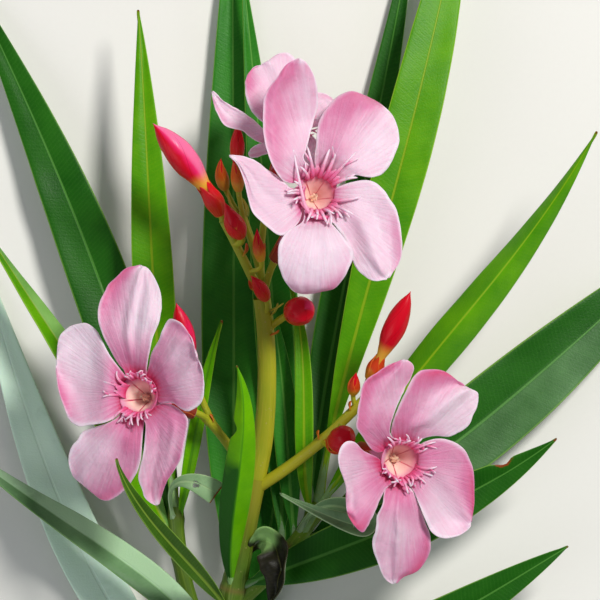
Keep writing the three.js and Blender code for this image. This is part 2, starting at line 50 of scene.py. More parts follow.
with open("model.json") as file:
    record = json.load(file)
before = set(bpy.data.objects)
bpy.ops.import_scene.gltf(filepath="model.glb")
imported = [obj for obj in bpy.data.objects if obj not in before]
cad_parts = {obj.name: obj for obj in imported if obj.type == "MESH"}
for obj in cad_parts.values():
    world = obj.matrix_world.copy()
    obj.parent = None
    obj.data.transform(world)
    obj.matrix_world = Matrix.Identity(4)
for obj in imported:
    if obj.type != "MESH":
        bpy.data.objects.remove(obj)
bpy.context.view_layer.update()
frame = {"record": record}

UP = Vector((0, 0, 1))
MM = 0.001
FULL_TURN = 2 * math.pi

# The cut foot of the main stem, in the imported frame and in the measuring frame
CUT_END = Vector(frame["record"]["mounts"][0]["pos_m"])
CUT_END_MEASURED = Vector((-19, -107.5, 3.4))
TO_METRES = Matrix.Translation(CUT_END - MM * CUT_END_MEASURED) @ Matrix.Scale(MM, 4)

# The camera looks straight down from here. Petals are measured in its view, on a plane through the blooms.
EYE = Vector((0, 0, 1200))
BLOOM_PLANE = 45
VIEW_WIDTH = 132  # what the camera sees of that plane, from side to side

# In all tables places and sizes are in millimetres. On names a stem, and the share of the way along it
# where a thing grows from it. Path gives the handles of its curve after that. Nodes are where leaves start.
STEMS = {
    "main_stem": dict(
        path=((-19, -107.5, 3.4), (-19, -86, 3.4), (-15.5, -66, 15), (-10, -40, 19)), radii=(3.4, 2.5),
        nodes=(0.13, 0.29, 0.62), tone="stem",
    ),
    "shoot_right": dict(
        on=("main_stem", 0.57), path=((-12, -67, 13), (-1, -57, 14), (4.5, -46, 15)), radii=(2, 1.7),
        nodes=(0.6, 0.9), tone="stem",
    ),
    "shoot_left": dict(
        on=("main_stem", 0.36), path=((-25.5, -73, 11), (-28, -58, 12.5), (-28, -46.5, 14)),
        radii=(2, 1.7), nodes=(0.7, 0.93), tone="stem",
    ),
    "stalk_top": dict(
        on=("main_stem", 1), path=((-6.5, -26.5, 22.5), (-7, -8.5, 28), (-8.5, 0.5, 30)),
        radii=(2.3, 1.9), nodes=(), tone="stalk",
    ),
    "stalk_top_left": dict(
        on=("stalk_top", 1), path=((-11.5, 7, 32), (-14, 12, 34), (-17, 17.5, 35.5)), radii=(1.1, 0.9),
        nodes=(), tone="stalk",
    ),
    "stalk_top_middle": dict(
        on=("stalk_top", 1), path=((-8, 7, 28.5), (-11, 13, 31), (-13, 20, 33)), radii=(1, 0.8), nodes=(),
        tone="stalk",
    ),
    "stalk_right": dict(
        on=("main_stem", 0.96), path=((-1, -37, 22.5), (6, -31, 25), (14, -22.5, 29.5)), radii=(1.4, 1.1),
        nodes=(0.6,), tone="stalk",
    ),
    "stalk_left": dict(
        on=("main_stem", 0.96), path=((-13, -36, 24), (-17.5, -30, 25.5), (-21, -26.5, 28.5)),
        radii=(1.1, 0.95), nodes=(), tone="stalk",
    ),
}

# Fold and roll are in degrees. A fold over 0 lifts both halves of a leaf. Roll is given at foot and tip.
# A pair of values says how far the left half and the right half differ from the rest: on most leaves
# paler as a painted sheen, on front_short darker as painted shade, on the withered leaf its last green.
# Two shares along say where that starts and stops.
LEAVES = {
    "tall_right": dict(
        on=("shoot_right", 0.97), path=((8.5, -12.5, 12.5), (27, 34, 29), (39, 104, 3)), width=12.2,
        fold=8, roll=(0, 6), tone="bright", shape=1.4,
    ),
    "folded_right": dict(
        on=("shoot_right", 0.74), path=((27.5, -9, 49), (47, 3.5, 24), (66, 37.5, 33)), width=14,
        fold=-50, roll=(-5, -10), tone="bright",
    ),
    "wide_right": dict(
        on=("shoot_right", 0.62), path=((28, -42.5, 14), (64.5, -8, 7), (92.5, 17.5, 1.2)), width=18,
        fold=10, roll=(-4, 0), tone="dark", wax=(0, 0.16),
    ),
    "inner_bright": dict(
        on=("shoot_right", 0.89), path=((-1.5, -39, 22.5), (3.9, -11, 20.5), (-3, 5.5, 18)), width=4.4,
        fold=20, tone="bright",
    ),
    "inner_dark": dict(
        on=("shoot_right", 0.66), path=((-3, -38, 14.5), (-3, -16.5, 15), (-7, 1, 14)), width=6, fold=15,
        tone="mid",
    ),
    "back_right": dict(
        on=("shoot_right", 0.84), path=((3.5, -20, 0), (15.5, 25, 6.5), (27, 92, 1.2)), width=10, fold=10,
        tone="dark",
    ),
    "back_upper": dict(
        on=("shoot_right", 0.5), path=((-3.5, -28, 6), (-8, 29, 15.5), (-13, 75, 8)), width=9, fold=12,
        tone="mid",
    ),
    "curled": dict(
        on=("shoot_right", 0.7), path=((4, -33, 29), (34, -63, 34), (-4.5, -43.1, 27)), width=7, fold=30,
        roll=(0, 20), tone="sage", shape=1.2, dry_tip=0,
    ),
    "left_upright": dict(
        on=("shoot_left", 0.97), path=((-33.5, -14, 16), (-33.5, 28, 23), (-36.5, 65.5, 16)), width=9.5,
        fold=12, tone="bright",
    ),
    "lime": dict(
        on=("shoot_left", 0.86), path=((-24.5, -37, 21), (-22, -18, 23.5), (-17.5, -4.5, 25)), width=3.5,
        fold=15, tone="lime",
    ),
    "stub": dict(
        on=("shoot_left", 0.88), path=((-32.5, -38.5, 25.5), (-24.5, -39, 26), (-18.5, -43.5, 24)),
        width=5.5, fold=8, tone="sage", cut_off=0.72, shape=2, hole=dict(middle=(0.6, 0.74), radius=0.75),
    ),
    "left_big": dict(
        on=("shoot_left", 0.62), path=((-36, -16.5, 9), (-51, 24, 11), (-77, 76, 1.2)), width=14, fold=10,
        tone="dark",
    ),
    "left_narrow": dict(
        on=("shoot_left", 0.72), path=((-41.5, -27, 20), (-51.5, -14, 22), (-75, 21.5, 10)), width=9,
        fold=15, roll=(20, 62), tone="bright", wax=(0, 0.35),
    ),
    "bitten_right": dict(
        on=("main_stem", 0.62), path=((9, -55, 27.5), (36.5, -47.5, 18.5), (57.5, -31, 24)), width=13.5,
        fold=18, roll=(5, 5), tone="dark", bite=dict(at=0.84, side=-1, radius=1.6, rim=0.9),
    ),
    # the left half of this leaf is painted darker as shade
    "front_short": dict(
        on=("main_stem", 0.6), path=((-18, -50.5, 32), (-9, -29, 38.5), (-14, -14.5, 40)), width=8.8,
        fold=-35, tone="lime", bite=dict(at=0.7, side=-1, radius=1.7, rim=0.2), wax=(1.5, 0),
        waxy_to=0.52,
    ),
    "front_thin": dict(
        on=("main_stem", 0.54), path=((-22, -60, 30), (-37.5, -46.5, 56), (-40, -34.5, 54)), width=4.6,
        fold=30, roll=(0, 35), tone="olive",
    ),
    "withered": dict(
        on=("main_stem", 0.63), path=((-8.5, -43.5, 18), (0, -58, 30), (-7, -68.5, 23)), width=10.5,
        fold=40, roll=(0, 50), tone="withered", shape=1.5, crumple=1.3, wax=(1, 0.6), waxy_from=0.3,
        waxy_to=0.5,
    ),
    "back_centre": dict(
        on=("main_stem", 0.61), path=((-15, -28, 4.5), (-15, 30, 7.5), (-15.5, 96, 1.2)), width=15,
        fold=10, tone="mid",
    ),
    "low_right": dict(
        on=("main_stem", 0.29), path=((10.5, -88.5, 13), (42, -66.5, 17.5), (60.5, -55.5, 17)),
        width=11.5, fold=12, tone="dark",
    ),
    "left_long": dict(
        on=("main_stem", 0.3), path=((-19.5, -64, 28), (-58.5, -50.5, 11.5), (-81.5, -29.5, 8)), width=8,
        fold=12, roll=(0, 50), tone="dark", wax=(0.35, 1.4),
    ),
    "back_low": dict(
        on=("main_stem", 0.28), path=((-6.5, -64.5, 4), (-2.5, -30, 6), (-1, 4.5, 1.2)), width=11,
        fold=10, tone="mid",
    ),
    "back_left": dict(
        on=("main_stem", 0.21), path=((-46, -82, 4), (-62, -30, 6), (-74, 14, 1.2)), width=12, fold=8,
        tone="pale", wax=(1.4, 1.4),
    ),
    "foot_right": dict(
        on=("main_stem", 0.13), path=((-2, -97, 10), (20, -96, 12), (38, -101, 1.2)), width=12, fold=12,
        tone="dark",
    ),
    "foot_left": dict(
        on=("main_stem", 0.15), path=((-34, -96, 11), (-52, -92, 12), (-70, -84, 1.2)), width=12, fold=12,
        tone="dark",
    ),
}

# Calyx is the share of the bud that its sepals cover, and pinker is added to the pink of its petals, which
# is partly their painted lit side and painted highlight.
BUDS = {
    "big": dict(
        on=("stalk_top_left", 1), path=((-17.5, 19, 36), (-21, 26.5, 39.5), (-32.5, 39, 43)), width=6.2,
        calyx=0.33, sepals="red", shape="spindle", pinker=0.28,
    ),
    "red": dict(
        on=("stalk_top_left", 0.7), path=((-13, 14, 38), (-15, 17.5, 41), (-16.5, 21.5, 43)), width=4.2,
        calyx=0.6, sepals="red", pinker=-0.25,
    ),
    "pointed": dict(
        on=("stalk_top_middle", 1), path=((-14, 30.5, 35), (-14, 35, 36), (-13.5, 40, 37)), width=2.8,
        pedicel=0.55, calyx=0.8, sepals="red", pinker=-0.3,
    ),
    "brown_left": dict(
        on=("stalk_top_middle", 0.82), path=((-16.5, 24.5, 33), (-18, 28, 34.5), (-17.5, 31.5, 36)),
        width=2.6, pedicel=0.55, calyx=0.92, sepals="brown", pinker=-0.3,
    ),
    "brown_right": dict(
        on=("stalk_top_middle", 0.6), path=((-13.6, 24, 37), (-13.9, 27.5, 38), (-14.8, 31, 38.5)),
        width=2.4, pedicel=0.55, calyx=0.92, sepals="brown", pinker=-0.3,
    ),
    "orange": dict(
        on=("stalk_top_left", 0.35), path=((-8.5, 8.5, 37), (-9.5, 12, 38), (-9.5, 16, 39)), width=2.3,
        pedicel=0.55, calyx=0.8, sepals="orange",
    ),
    "low": dict(
        on=("stalk_top", 0.9), path=((-7.5, 0, 34), (-9, 3.5, 36.5), (-11, 5.5, 37.5)), width=2.9,
        pedicel=0.55, calyx=0.85, sepals="red", pinker=-0.3,
    ),
    "round": dict(
        on=("stalk_top", 0.82), path=((-2, -3, 33), (0, -2.5, 37), (1, -2, 42)), width=6.3, calyx=0.42,
        sepals="orange", shape="round", pinker=0.4,
    ),
    "right": dict(
        on=("stalk_right", 1), path=((15.5, -17.5, 31), (18.5, -12, 35), (24.5, 2, 39)), width=5,
        calyx=0.28, sepals="orange", shape="spindle",
    ),
    "right_small": dict(
        on=("stalk_right", 0.93), path=((11.8, -21, 30.5), (12, -18.5, 32.5), (12.5, -16, 34)), width=2.5,
        pedicel=0.55, calyx=0.8, sepals="orange",
    ),
    "pink": dict(
        on=("stalk_right", 0.6), path=((7.5, -32.5, 31), (8.5, -31.5, 36), (11, -29, 40)), width=5.6,
        calyx=0.35, sepals="orange", shape="round", pinker=0.4,
    ),
    "left": dict(
        on=("stalk_left", 0.8), path=((-23, -19, 29.5), (-25, -10, 34), (-27.5, -0.5, 36)), width=4.6,
        calyx=0.3, sepals="red", shape="spindle",
    ),
}

# Each petal has a bearing, and its edges as the camera sees them from foot to tip: x, y, x, y and so on.
# Rise is its height over the mouth from foot to tip, and each lift is what that edge adds to it. A fold has
# its place across at foot and tip, its height and its width. Veil says how pink the left, the right and the
# tip are, partly the petal's own pink and partly painted shade, and blush how pink the left edge is. Flush
# is the pink round the throat. A fringe has the reach of its fingers, the bearing of the longest, and how
# pale and how thick they are. A crest is a long finger that lies up a petal: x, y and height over the mouth.
# Lean and towards tilt a bloom, in degrees.
BLOOMS = {
    "top": dict(
        on=("stalk_top", 0.97), calyx=(-5.5, 9, 33.5), mouth=(4, 23.5, 50), lean=16, towards=45,
        flush=0.12, fringe=dict(near=7, far=9.8, longest=40, pale=0.2, width=1.25),
        crest=(
            (6.6, 18.1, 1.2), (3.2, 18.4, 0.9), (1.3, 20.4, 1), (0.3, 24, 1.6), (-0.6, 28.5, 2.3),
            (-1.5, 33, 2.6),
        ),
        petals=(
            dict(
                bearing=104, blush=0.2, veil=(0.42, 0.12, 0.16), rise=(-1, 3, 2, 5.8, 10),
                left_lift=(0, 1.8, 2.4, 0.8, -0.6), right_lift=(0, -0.4, -0.8, -0.8, -0.8),
                folds=((-0.55, -0.7, 0.8, 0.18),),
                left=(
                    -3.1, 25.7, -5.3, 28.4, -6.8, 31.5, -7.9, 36.1, -8.1, 42.5, -7.5, 46, -5.3, 48.8,
                    -3.5, 51.5, -1.5, 52.8,
                ),
                right=(
                    0.9, 30.7, 1.5, 33, 2.3, 36.1, 3.1, 39.2, 4.1, 42.5, 4.1, 44.7, 3.9, 47.3, 3, 50,
                    1.5, 52.3,
                ),
                tip=(0, 53.4),
            ),
            dict(
                bearing=50, blush=0.6, veil=(0.36, 0.07, 0), rise=(-1, 2.4, 3, 2.2, -0.6),
                left_lift=(0, -1.4, -3.6, -4, -2.4), right_lift=(0, 0.2, -0.8, -1.4, -1),
                folds=((0, -0.45, 0.8, 0.25),),
                left=(
                    3.1, 30.8, 3.5, 34.5, 3.7, 37.5, 4.5, 40.5, 6, 42.8, 7.9, 44.7, 9.8, 45.8, 11.3, 46.2,
                    12.8, 45.8, 16.2, 44.2,
                ),
                right=(
                    7.9, 25.5, 9.9, 26.7, 11.7, 27.5, 13.6, 27.2, 15.8, 26.9, 17.8, 27.4, 19.4, 28.8,
                    20.8, 31.5, 21.9, 34.5, 21.9, 36.7, 20.8, 40.1,
                ),
                tip=(18.9, 42.4),
            ),
            dict(
                bearing=-46, blush=0.7, veil=(0, 0.09, 0), rise=(-1, 1.8, 1, 1.6, 1.6),
                left_lift=(0, 0.6, 1.6, 1, 0), right_lift=(0, 0, -0.8, -0.8, 0.4),
                folds=((0.1, 0.25, 1.1, 0.28),),
                left=(
                    7.3, 24.4, 9.4, 25.4, 12.1, 26.2, 15.1, 26.5, 17.4, 25.4, 19.6, 22.7, 21.2, 20.1,
                    21.9, 17.1, 22.5, 12.5, 22.1, 8.7,
                ),
                right=(6.8, 17.4, 8.3, 15.6, 10, 13.3, 11.3, 9.9, 12.1, 7.2, 14, 5.3, 16.2, 4.2),
                tip=(19.4, 4.6),
            ),
            dict(
                bearing=-92, blush=0.7, veil=(-0.04, 0.03, 0.4), rise=(-1, 2.6, 3.8, 1.4, -3),
                left_lift=(0, -0.4, -1.4, -1.4, -0.4), right_lift=(0, -0.4, -1.2, -1.4, -0.4),
                folds=((-0.3, -0.45, 0.5, 0.12),),
                left=(
                    5.5, 18.5, 7.2, 16.7, 9, 14.8, 10.6, 12.5, 11.9, 10.8, 11.3, 8, 9.8, 5, 7.9, 2.5,
                    5.3, 1.9,
                ),
                right=(
                    0.7, 17.4, -2.3, 15.6, -3.8, 14, -4.8, 11.4, -4.8, 8.4, -4.2, 5.7, -3.1, 3.4,
                    -0.8, 1.5,
                ),
                tip=(2.4, 1.2),
            ),
            dict(
                bearing=180, blush=0.2, veil=(0.04, 0.06, 0.04), rise=(-1, 1.4, 2.6, 4.2, 5.4),
                left_lift=(0, 0.6, 1, 0.6, 0), right_lift=(0, -0.4, -1, -0.6, 0),
                folds=((0.1, 0, -0.7, 0.22), (-0.5, -0.4, 0.4, 0.12)),
                left=(
                    0.2, 17.8, -1.8, 15.4, -4.2, 14, -6.9, 15.9, -9.1, 17.8, -10.6, 19.7, -11.2, 22,
                    -11.8, 25, -12.9, 28.4, -14.4, 30.7,
                ),
                right=(
                    -1.5, 24.4, -3.1, 25.8, -5.3, 27.7, -7.6, 29.2, -9.5, 30.7, -11.8, 31.5, -14.1, 32,
                ),
                tip=(-15.9, 31.8),
            ),
        ),
    ),
    "left": dict(
        on=("stalk_left", 1), calyx=(-23.5, -25, 31.5), mouth=(-36, -21, 42), lean=24, towards=162,
        flush=0.55, fringe=dict(near=5.4, far=7.4, longest=-110, pale=0.05, width=1),
        petals=(
            dict(
                bearing=92, blush=1, veil=(0.18, 0.03, 0), rise=(-1, 2, 2.8, 2.2, 1.4),
                left_lift=(0, 0.4, 1.3, 0.8, 0), right_lift=(0, 0, -0.2, -0.6, -0.4),
                folds=((0, 0.05, 1.1, 0.13), (0.55, 0.5, 0.5, 0.15)),
                left=(
                    -38.6, -15.6, -40, -14.2, -41.5, -11.6, -43, -8.7, -44.2, -5.8, -44.5, -2.9,
                    -44.1, -0.3, -43, 1.9, -42.1, 3.7, -40.4, 5.1, -38.6, 7, -37.1, 7.4,
                ),
                right=(
                    -33.9, -17.2, -33.5, -13.4, -32.9, -10.5, -32.4, -8, -31.3, -5.8, -30.6, -3.6,
                    -30.4, -1.1, -30.6, 1.5, -31.7, 4.4, -33.1, 6.8,
                ),
                tip=(-34.6, 7.7),
            ),
            dict(
                bearing=34, blush=0.35, veil=(0.25, 0.21, 0.08), rise=(-1, 2, 3.8, 5.2, 6.4),
                right_lift=(0, 0, -0.6, -1, -0.4),
                folds=((-0.35, -0.45, 0.8, 0.1), (0.2, 0.3, 0.9, 0.12)),
                left=(
                    -33.7, -15.8, -33.3, -14.2, -32.8, -11.6, -31.3, -9.1, -30.2, -6.2, -28.9, -4,
                    -26.9, -4.5, -25.1, -6.2, -24, -8.3,
                ),
                right=(
                    -31.2, -22.9, -28.9, -22.6, -27.6, -22.9, -26.4, -24, -24.4, -24.6, -22.2, -23.1,
                    -21.3, -21.5, -21.1, -18.2, -21.8, -14.9,
                ),
                tip=(-23, -12.1),
            ),
            dict(
                bearing=-76, blush=0.5, veil=(0.29, 0.24, 0.08), rise=(-1, 1.6, 0.4, -1.8, -4.6),
                left_lift=(0, 0, 0.2, 0, 0), right_lift=(0, 0.2, 0.9, 0.6, 0),
                folds=((0.3, 0.35, -0.5, 0.14), (-0.4, -0.3, 0.4, 0.12)),
                left=(
                    -31.2, -22.9, -28.4, -22.9, -26.2, -24.2, -24.7, -26.2, -24.9, -29.1, -25.5, -32.1,
                    -26.2, -35.3, -27.6, -37.5, -29.1, -39.7, -30, -41.9,
                ),
                right=(
                    -34.3, -26.4, -34.2, -30.2, -34.6, -33.9, -35.1, -36.4, -35.7, -39, -34.9, -41.2,
                    -34.2, -43.4, -32.8, -44.8,
                ),
                tip=(-31.1, -45.4),
            ),
            dict(
                bearing=-116, blush=0.5, veil=(0.32, 0.15, 0.08), rise=(-1, 1.8, 1.2, -0.6, -2.6),
                left_lift=(0, 0, -0.3, -0.4, 0), right_lift=(0, 0.2, 0.5, 0.4, 0),
                folds=((-0.2, -0.1, -0.4, 0.2),),
                left=(
                    -34.3, -26.4, -34.6, -29.5, -34.9, -33.2, -35.1, -35.7, -35.9, -37.9, -37.1, -40.1,
                    -38.6, -41.9, -40.4, -43.4, -42.6, -44.3, -43.7, -44.1, -45.5, -42.6,
                ),
                right=(
                    -39.4, -24.9, -40.8, -26.2, -43.3, -27.3, -45.9, -28.1, -48.2, -29.1, -48.8, -30.6,
                    -50.3, -32.1, -51, -34.6, -50.6, -37.5, -49.5, -39.4,
                ),
                tip=(-47.3, -40.8),
            ),
            dict(
                bearing=162, blush=1, veil=(0.07, 0, 0), rise=(-1, 2.6, 1.2, 2.4, 4),
                left_lift=(0, 0.6, 1.4, 1, 0.2), right_lift=(0, 0, 0.2, -0.4, -0.6),
                folds=((-0.3, -0.4, -0.5, 0.2),),
                left=(
                    -39.4, -24.9, -41.1, -26.2, -43.3, -27.1, -46.2, -27.5, -48.4, -28, -49.9, -27.3,
                    -51, -26.2, -51.7, -24, -52.6, -21.5, -53.2, -18.9,
                ),
                right=(
                    -37.5, -17.8, -38.6, -16.4, -40, -14.5, -41.9, -12, -43.3, -9.4, -44.4, -7.2,
                    -45.5, -5.8, -47, -5, -49.2, -5.1, -51, -6, -52.8, -7.6, -53.4, -9.8,
                ),
                tip=(-53.6, -14.5),
            ),
        ),
    ),
    "right": dict(
        on=("stalk_right", 0.78), calyx=(13, -33, 32), mouth=(22.5, -35.5, 44), lean=20, towards=-16,
        flush=0.5, fringe=dict(near=5.4, far=7.4, longest=10, pale=0.1, width=1),
        petals=(
            dict(
                bearing=112, blush=0.8, veil=(0.36, 0.3, 0.08), rise=(-1, 2.2, 3.6, 4.8, 5.4),
                left_lift=(0, 0, 0.3, 0, -0.4), right_lift=(0, 0, -0.4, -0.9, -0.8),
                folds=((-0.1, 0, 0.4, 0.18),),
                left=(
                    17.1, -33.7, 15.7, -32.9, 14.3, -30.9, 13.2, -29.2, 12.3, -28.2, 12.7, -25.8,
                    12.8, -23.5, 13.3, -20.8, 13.8, -18.7, 15, -17.1, 17.4, -15.7, 20.1, -14,
                ),
                right=(
                    20, -30.1, 20.2, -26.8, 21.1, -24.1, 22.1, -21.8, 23.1, -19.8, 24.1, -18.1,
                    24.8, -16.4, 25.2, -14.7, 24.4, -13.4,
                ),
                tip=(22.9, -13),
            ),
            dict(
                bearing=52, blush=1.1, veil=(0.29, 0.03, 0), rise=(-1, 2, 2.8, 2.2, 0.4),
                left_lift=(0, 0.4, 1.3, 0.9, 0), right_lift=(0, -0.2, -1.4, -1.8, -0.8),
                folds=((0.15, 0.15, 1.1, 0.16), (-0.25, -0.2, -0.4, 0.15)),
                left=(
                    20, -29.9, 20.4, -26.8, 21.4, -24.1, 22.4, -21.8, 23.8, -19.1, 25.1, -16.7,
                    25.8, -15.9, 27.5, -15.3, 29.9, -15.2, 31.5, -15.4, 33.5, -16.7, 35.2, -18.4,
                ),
                right=(
                    26, -32.1, 26.5, -30.9, 28.2, -30.2, 30.2, -30, 32.9, -30.2, 35.6, -28.9, 37.6, -27.3,
                    38.1, -25.5, 39.1, -23.5, 39.4, -21.4, 39.1, -20.1,
                ),
                tip=(37.1, -19.7),
            ),
            dict(
                bearing=-41, blush=1, veil=(0.29, 0.06, 0.08), rise=(-1, 1.6, 0.8, 0.8, 1.4),
                left_lift=(0, 0.4, 0.9, 0.6, 0), right_lift=(0, 0.8, 2.6, 2.4, 0.8),
                folds=((0.35, 0.4, -0.7, 0.2), (-0.2, -0.1, 0.4, 0.15)),
                left=(
                    26, -32.1, 28.2, -30.9, 30.2, -30.4, 32.2, -30.5, 34.6, -31.5, 36.3, -32.9,
                    37.1, -34.3, 37.9, -36.3, 38.4, -39, 38.4, -42.3, 38.4, -45,
                ),
                right=(
                    22.9, -39.6, 24.5, -41.3, 25.8, -44, 27.1, -47.1, 28.2, -49.7, 29.2, -51.4,
                    30.9, -52.3, 33.5, -52.4, 35.9, -51.4,
                ),
                tip=(37.7, -49.3),
            ),
            dict(
                bearing=-91, blush=1, veil=(0.25, 0.18, 0.08), rise=(-1, 1.8, 0.9, -1, -3),
                left_lift=(0, 0, 0.2, 0.2, 0), right_lift=(0, 0.2, 0.4, 0, 0),
                folds=((0.1, 0.2, 1.3, 0.1),),
                left=(
                    23.3, -40.3, 24.5, -41.3, 25.5, -43.3, 26.5, -46, 27.5, -48.4, 28.5, -51.1,
                    28.8, -53.5, 28.5, -55.8, 27.5, -58.2, 25.8, -59.9, 23.5, -60.7, 22.4, -61.2,
                ),
                right=(
                    18.7, -41.6, 18.4, -43, 18.2, -45, 17.1, -47.1, 16.7, -49.1, 16.7, -51.1, 16, -52.4,
                    16, -54.5, 16.7, -57.2, 18, -59.9, 19.2, -61.9,
                ),
                tip=(20.9, -62.7),
            ),
            dict(
                bearing=-141, blush=0.9, veil=(0.32, 0.15, 0.28), rise=(-1, 2.6, 3.8, 3.6, 3),
                left_lift=(0, 0, 0.6, 0.4, 0), right_lift=(0, 0.3, 0.6, 0.2, -0.3),
                folds=((0, 0.1, -0.5, 0.25),),
                left=(
                    18.9, -41.6, 18.4, -42.7, 17.7, -44, 16.7, -46.4, 15.7, -48.4, 14.7, -50.4,
                    13.7, -51.4, 12.3, -50.1, 11, -48.4,
                ),
                right=(
                    17.8, -35, 17.1, -34.6, 15.7, -33.9, 13.7, -32.9, 12.3, -31.2, 10.6, -30.9,
                    9.6, -31.5, 8.6, -33.2, 8.4, -35.3, 9.1, -38, 10, -40.7, 10, -43.3,
                ),
                tip=(10.2, -46.2),
            ),
        ),
    ),
    "behind": dict(
        on=("stalk_top", 0.88), calyx=(-6.5, 24.5, 28), mouth=(-2, 39, 36.5), lean=14, towards=80,
        flush=0.3, fringe=dict(near=5.5, far=6.5, longest=0, pale=0, width=0.85),
        petals=(
            dict(
                bearing=114, blush=0.9, veil=(0.14, 0.12, 0), rise=(-1, 2, 2.4, 2.4, 2),
                left_lift=(0, 0.4, 0.8, 0.4, 0), right_lift=(0, 0, -0.5, -0.5, 0),
                folds=((0.2, 0.3, 0.6, 0.15),),
                left=(
                    -7, 38.6, -8.2, 39.1, -9.5, 40.2, -11, 42.1, -12, 45.1, -12.1, 48.1, -11.6, 49.6,
                    -10.6, 50.8,
                ),
                right=(-1.8, 44, -0.7, 48.4, -0.4, 51.7, -1.9, 54.2, -3.5, 54.6, -5, 54.2, -6.9, 52.6),
                tip=(-8.8, 51.5),
            ),
            dict(
                bearing=155, blush=0.5, veil=(0.07, 0.06, 0), rise=(-1, 1.6, 1.8, 2, 2),
                left_lift=(0, 0.4, 0.8, 0.6, 0), right_lift=(0, -0.3, -0.6, -0.4, 0),
                left=(
                    -7, 34.3, -8.2, 34.5, -9.5, 34.9, -11.4, 36.4, -12.9, 37.5, -15.6, 37.9, -17.1, 39.4,
                    -18.4, 41.7, -19.4, 44.3,
                ),
                right=(
                    -7, 37.6, -8.2, 37.9, -9.9, 39.4, -12.1, 41.3, -13.9, 42.2, -15.2, 42.8, -17.8, 44.7,
                ),
                tip=(-19.5, 46.2),
            ),
            dict(
                bearing=-146, blush=0.3, veil=(0.07, 0.06, 0), rise=(-1, 1.5, 2, 2.5, 3),
                left_lift=(0, 0.2, 0.4, 0.2, 0), right_lift=(0, 0.2, 0.3, 0.2, 0),
                left=(-4, 33.4, -5.5, 32.3, -7.2, 32.2, -9.5, 31.5, -10.8, 31.5),
                right=(-6.2, 35, -7.4, 34.5, -8.8, 34.3, -10.6, 33.4), tip=(-11.4, 32.1),
            ),
            dict(
                bearing=-50, blush=0.3, veil=(0.07, 0.06, 0), rise=(-1, 1.5, 1.8, 1.5, 1),
                left=(1.8, 37.2, 3.3, 35.6, 5.5, 33.4, 7, 31.2),
                right=(-1.8, 33.9, -0.4, 31.7, 1.3, 29.7, 4, 29), tip=(6.2, 29.5),
            ),
            dict(
                bearing=30, blush=0.3, veil=(0.07, 0.06, 0), rise=(-1, 1.5, 1.6, 1, 0),
                left=(-1.5, 42.7, 0.7, 44.9, 4, 45.8, 6.8, 44.7),
                right=(2, 37.8, 4, 38.1, 6.6, 39.2, 8.4, 40.9), tip=(8.1, 43.1),
            ),
        ),
    ),
}

# Small pointed bracts where stalks branch, and the way that each points
BRACTS = (
    dict(on=("stalk_top_middle", 0.98), points=(-0.5, 0.85, 0.35), length=6, width=1.3, tone="green"),
    dict(on=("stalk_top_middle", 0.9), points=(-0.15, 0.95, 0.4), length=5, width=1.1, tone="green"),
    dict(on=("stalk_top_middle", 0.45), points=(0.35, 0.7, 0.6), length=4.2, width=1.4, tone="brown"),
    dict(on=("stalk_top_left", 0.55), points=(0.2, 0.75, 0.7), length=3.6, width=1.5, tone="orange"),
    dict(on=("stalk_top_left", 0.12), points=(-0.5, 0.6, 0.6), length=3.4, width=1.4, tone="orange"),
    dict(on=("stalk_top", 0.93), points=(0.75, 0.35, 0.6), length=4.6, width=1.3, tone="green"),
    dict(on=("stalk_top", 0.9), points=(0.5, 0.75, 0.5), length=4, width=1.2, tone="green"),
    dict(on=("stalk_top", 0.8), points=(0.6, 0.3, 0.7), length=3.2, width=1.4, tone="brown"),
    dict(on=("stalk_right", 0.6), points=(-0.1, 0.8, 0.6), length=2.2, width=1.9, tone="brown"),
    dict(on=("stalk_right", 0.63), points=(0.5, -0.4, 0.75), length=2, width=1.8, tone="brown"),
    dict(on=("stalk_right", 0.9), points=(0, 0.8, 0.5), length=2.2, width=1.7, tone="orange"),
    dict(on=("stalk_left", 0.93), points=(-0.2, 0.8, 0.5), length=2, width=1.6, tone="brown"),
)


def linear(hex_colour):
    """A linear RGBA colour from an sRGB hex value."""
    parts = [int(hex_colour[i : i + 2], 16) / 255 for i in (1, 3, 5)]
    return (*(p / 12.92 if p <= 0.04045 else ((p + 0.055) / 1.055) ** 2.4 for p in parts), 1)


def colour(name, description, hex_colour):
    default = linear(hex_colour)
    return FloatVectorProperty(
        name=name, description=description, default=default, subtype="COLOR", size=4, min=0, max=1
    )


def length(name, description, millimetres):
    return FloatProperty(
        name=name, description=description, unit="LENGTH", min=0.00001, default=millimetres * MM
    )


class BranchSizes(bpy.types.PropertyGroup):
    leaf: length("Leaf", "Thickness of a leaf", 0.45)
    petal: length("Petal", "Thickness of a petal", 0.28)
    sepal: length("Sepal", "Thickness of a sepal", 0.3)
    vein_gap: length("Vein gap", "Distance between a leaf's side veins", 0.95)
    filament: length("Filament", "Thickness of a finger of the fringe at its foot", 0.6)


class BranchColours(bpy.types.PropertyGroup):
    petal_pale: colour("Petal, pale", "The palest part of a petal", "#f4dae9")
    petal_pink: colour("Petal, pink", "The pinker side of a petal", "#dc84ac")
    petal_deep: colour("Petal, deep", "The streaks at a petal's foot", "#cf3a6c")
    throat: colour("Throat", "The inside of a bloom's throat", "#ffe0cc")
    bud_red: colour("Bud, red", "The folded petals of a bud", "#d00620")
    # bud_pink is the colour of a bud's painted lit side, and of the pinkest buds all over
    bud_pink: colour("Bud, pink", "The side of a bud that the sun reaches", "#f02c74")
    # stem and stalk are the colours of the painted lit side of stems and stalks
    stem: colour("Stem", "The skin of the stem and shoots", "#5f8412")
    stalk: colour("Stalk", "The sunny side of a flower stalk", "#b2ae1e")


class BranchStage(bpy.types.PropertyGroup):
    floor: colour("Floor", "The table that the branch lies on", "#f1f0ea")
    key: FloatProperty(name="Key light", description="Power of the key light", unit="POWER", default=9.3)
    fill: FloatProperty(name="Fill light", description="Power of the fill light", unit="POWER", default=2.1)
    sky: FloatProperty(name="Sky", description="Strength of the even light from all round", default=0.27)


